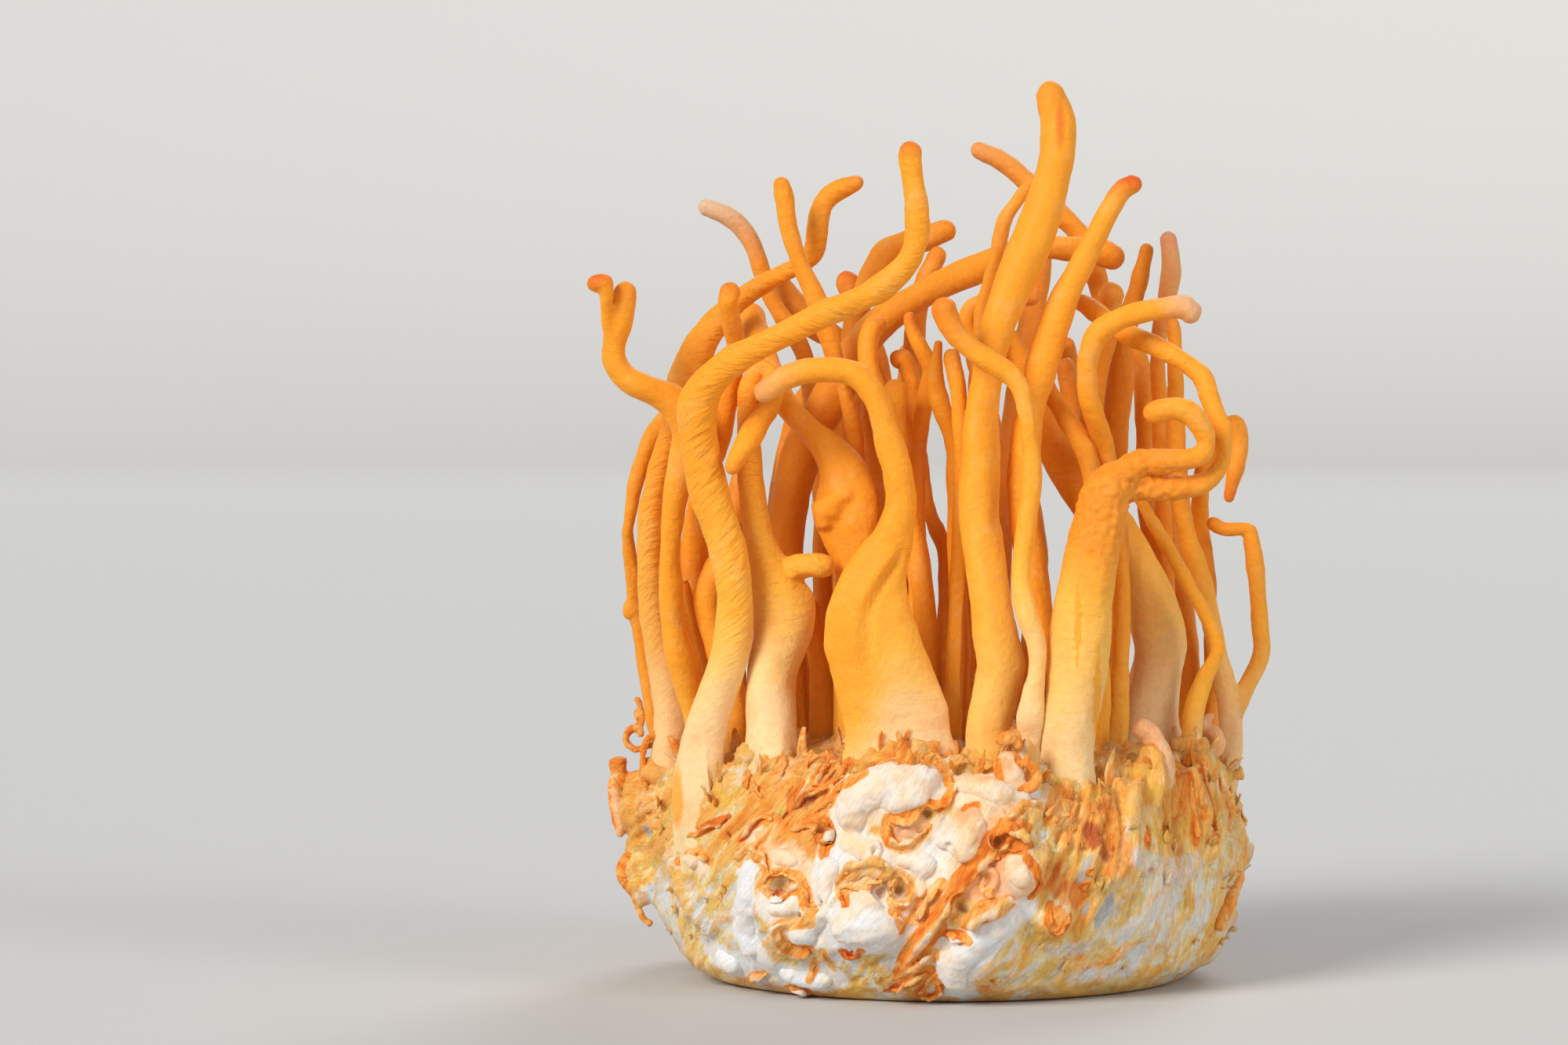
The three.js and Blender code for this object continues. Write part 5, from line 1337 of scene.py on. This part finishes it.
felt, tree, shader = new_finish("mycelium_felt", {
    "Roughness": 0.66, "IOR": 1.4, "Subsurface Weight": 0.2, "Subsurface Radius": (1.0, 0.6, 0.35),
    "Subsurface Scale": 0.7 * MM, "Sheen Weight": 0.1})
spot = add(tree, "TexCoord", "Object")
high = add(tree, "SeparateXYZ", "Z", Vector=spot)
flow = add(tree, "Attribute", "Vector", {"attribute_name": "flow_mm"})
told = {name: add(tree, "Attribute", "Fac", {"attribute_name": name}) for name in (
    "white", "white_shade", "lip", "lip_shade", "deep", "bare", "yellow", "orange", "fresh", "hollow",
    "crest")}
cloud = add(tree, "TexNoise", "Fac", Vector=flow, Scale=1 / CLOUD_MM, Detail=6.0, Roughness=0.66,
            Distortion=0.9)
streak = add(tree, "TexNoise", "Fac", Vector=flow, Scale=1 / STREAK_MM, Detail=5.0, Roughness=0.68,
             Distortion=0.7)
veil = add(tree, "TexNoise", "Fac", Vector=spot, Scale=1 / (VEIL_MM * MM), Detail=6.0, Roughness=0.6)
fine = add(tree, "TexNoise", "Fac", Vector=flow, Scale=1 / THREAD_MM, Detail=4.0, Roughness=0.7)
print("patterns of", felt.name)

# %% The ground colour of the cake, and those of its white and its lips
to_rim = add(tree, "MapRange", 0, SMOOTH, Value=high, From_Min=7 * MM, From_Max=20 * MM, To_Min=-0.09,
             To_Max=0.03)
wander = add(tree, "Math", 0, PLUS, i0=cloud, i1=to_rim)
frayed = add(tree, "Math", 0, TIMES_PLUS, i0=streak, i1=0.35, i2=wander)
colour = add(tree, "ValToRGB", 0, {"stops": [
    (0.52, "#DDE1E1"), (0.57, "#EEE3C6"), (0.62, "#F4D488"), (0.69, "#F4BE5E"), (0.77, "#F2A23E"),
    (0.87, "#E5862A")]}, Fac=frayed)
shade = add(tree, "MapRange", 0, Value=veil, From_Min=0.42, From_Max=0.68, To_Min=-0.08, To_Max=0.4)
shade = add(tree, "Math", 0, PLUS, i0=shade, i1=told["white_shade"])
white_colour = add(tree, "ValToRGB", 0, {"stops": [
    (0.0, "#E6E8EA"), (0.35, "#F0E4D4"), (0.7, "#F6D5AC"), (1.0, "#F4B27A")]}, Fac=shade)
shade = add(tree, "Math", 0, TIMES_PLUS, i0=told["lip_shade"], i1=0.22, i2=streak)
lip_colour = add(tree, "ValToRGB", 0, {"stops": [
    (0.38, "#FCD5A4"), (0.52, "#FBB964"), (0.64, "#F6962A"), (0.82, "#E06A10")]}, Fac=shade)
print("ground, white and lips")

# %% Lay the marks over the ground, one after the other
LAYERS = (
    # what the mesh says, how much the streaks fray it, where it starts and is full, how strong, its colour
    ("yellow", 0.7, 0.70, 1.00, 0.55, "#E3B53C"),
    ("orange", 0.9, 0.80, 1.10, 0.85, lip_colour),
    ("crest", 0.8, 0.62, 1.10, 0.5, "#F5AA50"),
    ("fresh", 1.9, 1.65, 2.20, 0.75, "#E0E5E9"),
    ("white", 1.1, 0.88, 1.22, 0.97, white_colour),
    # painted shade in the dents
    ("hollow", 0.6, 0.72, 1.25, 0.6, "#D28838"),
    ("lip", 0.6, 0.66, 0.86, 1.0, lip_colour),
    # painted shade in pits and pockets, over their deeper orange
    ("deep", 1.1, 0.85, 1.40, 0.8, "#B4461A"),
    ("bare", 1.7, 1.30, 1.55, 0.85, "#B4B4B4"),
)
dried = add(tree, "MapRange", 0, SMOOTH, Value=veil, From_Min=0.51, From_Max=0.62, To_Max=0.72)
base = add(tree, "MapRange", 0, Value=high, From_Min=0.5 * MM, From_Max=3.6 * MM, To_Min=0.34, To_Max=0.0)
at_base = add(tree, "Math", 0, PLUS, i0=veil, i1=base)
at_base = add(tree, "MapRange", 0, SMOOTH, Value=at_base, From_Min=0.72, From_Max=0.84, To_Max=0.8)
flecks = add(tree, "MapRange", 0, SMOOTH, Value=streak, From_Min=0.58, From_Max=0.68, To_Max=0.8)
for share, over in ((dried, "#E9BC48"), (at_base, "#E7A038"), (flecks, "#EF9C40")):
    colour = add(tree, "Mix", 2, COLOURS, i0=share, i6=colour, i7=over)
for name, fray, low, full, strength, over in LAYERS:
    torn = add(tree, "Math", 0, TIMES_PLUS, i0=streak, i1=fray, i2=told[name])
    share = add(tree, "MapRange", 0, SMOOTH, Value=torn, From_Min=low, From_Max=full, To_Max=strength)
    colour = add(tree, "Mix", 2, COLOURS, i0=share, i6=colour, i7=over)
mottle = add(tree, "ValToRGB", 0, {"stops": [(0.3, 0.8), (0.65, 1.04)]}, Fac=fine)
colour = add(tree, "Mix", 2, TINTED, i0=1.0, i6=colour, i7=mottle)
tree.links.new(colour, shader.inputs["Base Color"])
threads = add(tree, "Math", 0, TIMES_PLUS, i0=fine, i1=0.5, i2=streak)
calm = add(tree, "MapRange", 0, Value=told["white"], From_Min=0.3, From_Max=0.8, To_Min=0.7, To_Max=0.15)
bump = add(tree, "Bump", 0, Height=threads, Strength=calm, Distance=0.4 * MM)
tree.links.new(bump, shader.inputs["Normal"])
print("finish", felt.name, "with", len(tree.nodes), "nodes")

# %% Give the cake and its folds their finish
def finish_felt(piece):
    only(piece)
    bpy.ops.object.shade_smooth()
    piece.data.materials.append(felt)
    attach(piece, "root")


for piece in (cake, front, sides):
    finish_felt(piece)
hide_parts("cake")
print("the cake's skin stands for its solid")

# %% [markdown]
# ## Growths that stand off the cake
# Curls, flaps and fingers of felt stand off the rim. Each is one or more strands, and those that touch are
# fused by a fine remesh. They keep the same numbers as the cake, so the same finish colours them.

# %% The growths: cream shade or None for orange, depth behind the sheet, and (across, up, radius) in mm
GROWTHS = [
    (None, -3, [(-28.6, 23.2, 0.4), (-29.6, 23.6, 0.35), (-30.4, 23.3, 0.35), (-31.2, 23.1, 0.35),
        (-32.1, 23.7, 0.4), (-32.2, 24.6, 0.42), (-31.7, 25.3, 0.45), (-30.9, 25.4, 0.47),
        (-30.5, 24.8, 0.4), (-30.6, 24.2, 0.28)]),  # left curl, loop
    (None, -3, [(-30.6, 25.3, 0.31), (-30.5, 26.1, 0.28), (-30.5, 26.9, 0.31), (-30.8, 27.9, 0.31),
        (-31.1, 28.5, 0.33)]),  # left curl, tall tip
    (None, -3, [(-30.9, 26, 0.28), (-31, 26.6, 0.26), (-31.2, 27.2, 0.23)]),  # left curl, short tip
    (None, -4, [(-30, 18.5, 0.28), (-30.3, 19.9, 0.33), (-30.4, 21.3, 0.35), (-30.4, 22.7, 0.4),
        (-30.2, 23.8, 0.42), (-29.6, 24.5, 0.42), (-28.9, 24.4, 0.35),
        (-28.4, 24.4, 0.23)]),  # left strip
    (None, -4, [(-29.4, 24.4, 0.28), (-29.3, 24.8, 0.26), (-29.2, 25.2, 0.16)]),  # left strip, tip
    (None, -1, [(-32.3, 19.4, 0.7), (-32.9, 20.6, 0.94), (-33, 21.8, 0.94),
        (-33.1, 22.4, 0.77)]),  # left stub
    (0.9, -1, [(-33.4, 19.9, 0.65), (-33.3, 18.3, 0.82), (-32.9, 16.6, 0.88), (-32.5, 15.2, 0.76),
        (-32.9, 14, 0.33)]),  # flap, left
    (0.9, -1, [(-31.8, 19.9, 0.7), (-31.8, 18.3, 1.1), (-31.4, 16.6, 1.1),
        (-31.3, 15, 0.7)]),  # flap, middle
    (None, -1, [(-33.9, 20, 0.26), (-33.8, 18.3, 0.26), (-33.6, 16.5, 0.23),
        (-33.3, 15.3, 0.19)]),  # flap, edge
    (None, -1, [(-33.9, 20.2, 0.28), (-32.9, 20.3, 0.33), (-31.7, 20.5, 0.33),
        (-30.5, 20.8, 0.28)]),  # flap, top rim
    (0.95, -19, [(19.7, 24.5, 0.9), (20.5, 25.4, 1.1), (21.5, 24.6, 1.2), (22.4, 23, 1.3),
        (22.8, 21.3, 1.35), (22.7, 19.7, 1.2), (22.2, 18.1, 0.9)]),  # arched finger
    (None, -20.2, [(21.5, 22.9, 0.47), (21.5, 21.3, 0.79), (21.8, 19.7, 0.7),
        (21.9, 18.4, 0.38)]),  # arched finger, inner face
    (0.95, -9, [(27.2, 22.1, 0.63), (27.8, 22.9, 0.95), (28.6, 24, 1), (27.5, 25.1, 0.95),
        (26.7, 25.7, 0.63), (27.2, 26.4, 0.47), (28, 26.6, 0.44)]),  # right knob
    (0.75, -28.3, [(7.9, 18.4, 0.89), (7.6, 19.4, 1.3), (7, 20.8, 1.5), (6.9, 21.9, 1.2),
        (7.2, 23, 0.89)]),  # front lobe, body
    (None, -29.2, [(5.5, 23.7, 0.15), (6.3, 24.1, 0.38), (7.2, 24.4, 0.74), (7.9, 23.9, 0.81),
        (8.1, 23, 0.44)]),  # front lobe, head
    (None, -29.2, [(5.5, 22.4, 0.3), (5.7, 20.8, 0.36), (6.1, 19.3, 0.36),
        (6.9, 18.4, 0.27)]),  # front lobe, left edge
    (None, -29.2, [(8.4, 22.2, 0.53), (9.4, 21.4, 0.65), (10.1, 20.3, 0.59), (9.5, 19.3, 0.5),
        (8.5, 18.7, 0.36)]),  # front lobe, right flap
    (None, -2, [(-28.8, 13.2, 0.7), (-29.9, 12.9, 0.7), (-31.8, 12.4, 0.64), (-32.6, 11, 0.6),
        (-32.2, 9.2, 0.64), (-30.8, 8.3, 0.5), (-29.6, 8, 0.5)]),  # ear
    (None, -2, [(-31.5, 8.7, 0.5), (-31, 7, 0.45), (-30.4, 5.8, 0.35), (-29.4, 5, 0.3)]),  # ear, tail
]

STRANDS_WIDER = 1.1
GROWTH_MARGIN = 0.3
GROWTH_SHADE = 0.6
GROWTH_FACES_MM = 0.17
GROWTH_ROUGHNESS_MM = 0.35
RIGHT_FOLD = [(30.2, 10.6, 0.7), (29.3, 7.8, 0.8), (27.9, 4.6, 0.7)]

made = []
for cream, depth, points in GROWTHS:
    places = [in_sheet(across, up, depth) for across, up, _ in points]
    radii = [radius for _, _, radius in points]
    made.append(strand(places, [radius * STRANDS_WIDER for radius in radii]))
    kind, shade = ("lip", GROWTH_SHADE) if cream is None else ("white", cream)
    mark(kind, places, radii, GROWTH_MARGIN, shade)
places, radii = laid_on([body], RIGHT_FOLD, 0.6)
made.append(strand(places, radii))
mark("lip", places, radii, GROWTH_MARGIN, 0.5)
growth = join(made[0], made[1:])
growth.name = "rim_growths"
new_skin(growth, GROWTH_FACES_MM, 2)
roughen(growth, wrinkles, GROWTH_ROUGHNESS_MM)
store_felt(growth)
finish_felt(growth)
print("growths", len(growth.data.polygons), "faces")

# %% [markdown]
# ## Torn flakes
# Some 260 thin torn flakes stand up along the rim, where the sheet was pulled apart by the growing clubs, and
# lie half raised on the wall. The pattern is a small flat blade, made from a grid of 3 by 6 faces and
# thickened with Solidify. Each copy has its own mesh, and is tapered, curled back and cupped in its own way.

# %% The placed flakes on the rim's front: across and up of the foot, the same of the tip, and width, in mm
SPIKES = [
    (-14.2, 22.2, -14.6, 25.3, 1.1), (-13.6, 21.5, -13.3, 23.1, 0.8), (-10.2, 23.3, -9.8, 25.3, 1),
    (-3.5, 21.7, -3.6, 25, 1.9), (-3.9, 22.2, -4.4, 23.7, 1), (-1.6, 21.5, -1.3, 22.9, 1),
    (-16.1, 21.5, -16.3, 23.1, 0.8), (-11.5, 21.5, -11, 22.7, 0.8), (-19.9, 19.3, -20, 21, 0.7),
    (0.8, 20.9, 2.6, 22.4, 1.4), (1.1, 20.6, 1, 22.2, 0.8), (13.5, 18.2, 13.5, 19.2, 0.8),
    (17.2, 19.7, 16.9, 23.7, 1.2), (17.8, 20.1, 17.6, 21.9, 1), (22, 24.4, 22.2, 26, 0.8),
    (23.5, 24.2, 23.8, 25.6, 0.7), (25.8, 21.6, 25.2, 24.9, 1.1), (25.1, 21.7, 25.6, 23.8, 0.8),
    (26.4, 23.3, 26, 25.9, 1), (21.2, 21.2, 21, 22.7, 0.8), (16.5, 18.7, 16.1, 20.2, 0.8),
    (19.2, 20.9, 18.9, 21.9, 0.7), (-2.5, 21.7, -2.4, 22.9, 0.8),
]
FLAKE_THICK = 0.14
FLAKE_FOOT = 0.15
WAIST, POINT = (0.5, 0.95), (0.05, 0.35)
SIDEWAYS, CURL_BACK, CUP = (-0.5, 0.5), (-0.1, 0.45), (0.4, 1.6)
RIPPLE = 0.25

bpy.ops.mesh.primitive_grid_add(x_subdivisions=3, y_subdivisions=6, size=1)
pattern = bpy.context.object
edit_all(pattern)
bpy.ops.transform.translate(value=(0, 0.5, 0))
bpy.ops.object.mode_set(mode="OBJECT")
apply(pattern, "SOLIDIFY", thickness=FLAKE_THICK, offset=0.0)
flat = corners(pattern.data)
print("pattern flake", len(pattern.data.polygons), "faces")


def flake(foot, tip, facing, width, rng):
    """A copy of the pattern from foot to tip: tapered, curled back and cupped, each one differently."""
    copy = new_object("flake", pattern.data.copy())
    along = flat[:, 1]
    taper = np.interp(along, [0, 0.25, 0.6, 1], [0.8, 1, rng.uniform(*WAIST), rng.uniform(*POINT)])
    across = flat[:, 0] * taper + rng.uniform(*SIDEWAYS) * along ** 2
    places = np.stack([across, along, flat[:, 2]], axis=1)
    length = (tip - foot).length / MM
    places[:, 2] += rng.uniform(*CURL_BACK) * along ** 2 * length + rng.uniform(*CUP) * across ** 2
    places[:, 2] += RIPPLE * np.sin(along * 5 + rng.uniform(0, 6)) * flat[:, 0]
    places *= np.array([width, length * (1 + FLAKE_FOOT), 1.0])
    places[:, 1] -= FLAKE_FOOT * length
    y = (tip - foot).normalized()
    z = (facing - y * facing.dot(y)).normalized()
    turned = Matrix((y.cross(z), y, z)).transposed()
    set_corners(copy.data, (places @ np.array(turned).T) * MM + np.array(foot))
    return copy


# %% Set the flakes on the front of the rim
torn = random.Random(11)
flakes, shades = [], []
for across, up, tip_across, tip_up, width in SPIKES:
    foot, normal = hit_from_front([body, swollen], across, up)
    if foot:
        flakes.append(flake(foot, in_sheet(tip_across, tip_up, foot.y / MM), normal, width, torn))
        shades.append(torn.uniform(0.5, 1.0))
print(len(flakes), "flakes placed one by one")

# %% Choose where the others may stand: off the pillows and lips, and clear of the two front lobes
LOBES = (in_sheet(7.4, 20, -28), in_sheet(22.4, 20.5, -19))
LOBE_REACH = 3.2 * MM
RIM_MM = 18.5

places, outward = corners(cake.data), corners(cake.data, "normal")
high, upward = places[:, 2] / MM, outward[:, 2]
reach = np.hypot(places[:, 0] / MM - CAKE_MIDDLE_X, places[:, 1] / MM)
free = (fetch(cake.data, "white") < 0.25) & (fetch(cake.data, "lip") < 0.3)
for place in LOBES:
    free &= np.linalg.norm(places - np.array(place), axis=1) > LOBE_REACH
ZONES = (
    # how many, which corners, shortest and longest in mm, raised off the wall in radians, widths in mm
    (95, free & (high > RIM_MM) & (reach > 22) & (upward > -0.2), (0.8, 2.4), (0.7, 1.4), (0.5, 1.2)),
    (60, free & (high > 20) & (reach < 24) & (upward > 0.3), (0.8, 2.2), (0.9, 1.5), (0.4, 0.9)),
    (55, free & (high > 10) & (high < 19) & (reach > 26), (0.8, 1.8), (0.15, 0.5), (0.5, 1.2)),
    (30, free & (high > 1.5) & (high < 10) & (upward > -0.6), (0.7, 1.3), (0.1, 0.3), (0.4, 0.9)),
)
print(int(free.sum()), "free corners")

# %% Set the others
ALONG_SPREAD = 0.45
RIM_UPWARDS = Vector((0, 0, 0.6))
WALL_SHADES = (0.0, 0.0, 0.3, 1.0, 1.0)
FLAKE_ROUGHNESS_MM = 0.3


def slant_at(place):
    """The way of the felt's slant at a place: up to the right on the left side, straight up on the right."""
    turn = math.atan2(place.x, -place.y)
    slant = Vector((math.cos(turn), math.sin(turn), 0)) * SLANT * (1 - math.sin(turn)) + Vector((0, 0, 1))
    return slant.normalized()


for count, where, lengths, raised, widths in ZONES:
    choice = np.flatnonzero(where)
    for _ in range(count):
        i = choice[torn.randrange(len(choice))]
        foot, normal = Vector(places[i]), Vector(outward[i])
        along = slant_at(foot) + Vector([torn.uniform(-ALONG_SPREAD, ALONG_SPREAD) for _ in range(3)])
        along = (along - normal * along.dot(normal)).normalized()
        lift = torn.uniform(*raised)
        heading = along * math.cos(lift) + normal * math.sin(lift)
        if high[i] > RIM_MM:
            heading = (heading + RIM_UPWARDS).normalized()
        tip = foot + heading * torn.uniform(*lengths) * MM
        facing = normal * math.cos(lift) - along * math.sin(lift)
        flakes.append(flake(foot, tip, facing, torn.uniform(*widths), torn))
        shades.append(torn.choice(WALL_SHADES))
bpy.data.objects.remove(pattern)
tufts = join(flakes[0], flakes[1:])
tufts.name = "rim_tufts"
roughen(tufts, wrinkles, FLAKE_ROUGHNESS_MM)
store_felt(tufts)
store(tufts.data, "lip", np.repeat(np.array(shades), len(flat)))
for name in ("white", "hollow"):
    store(tufts.data, name, np.zeros(len(tufts.data.vertices)))
finish_felt(tufts)
print("torn flakes", len(flakes), "with", len(tufts.data.polygons), "faces")
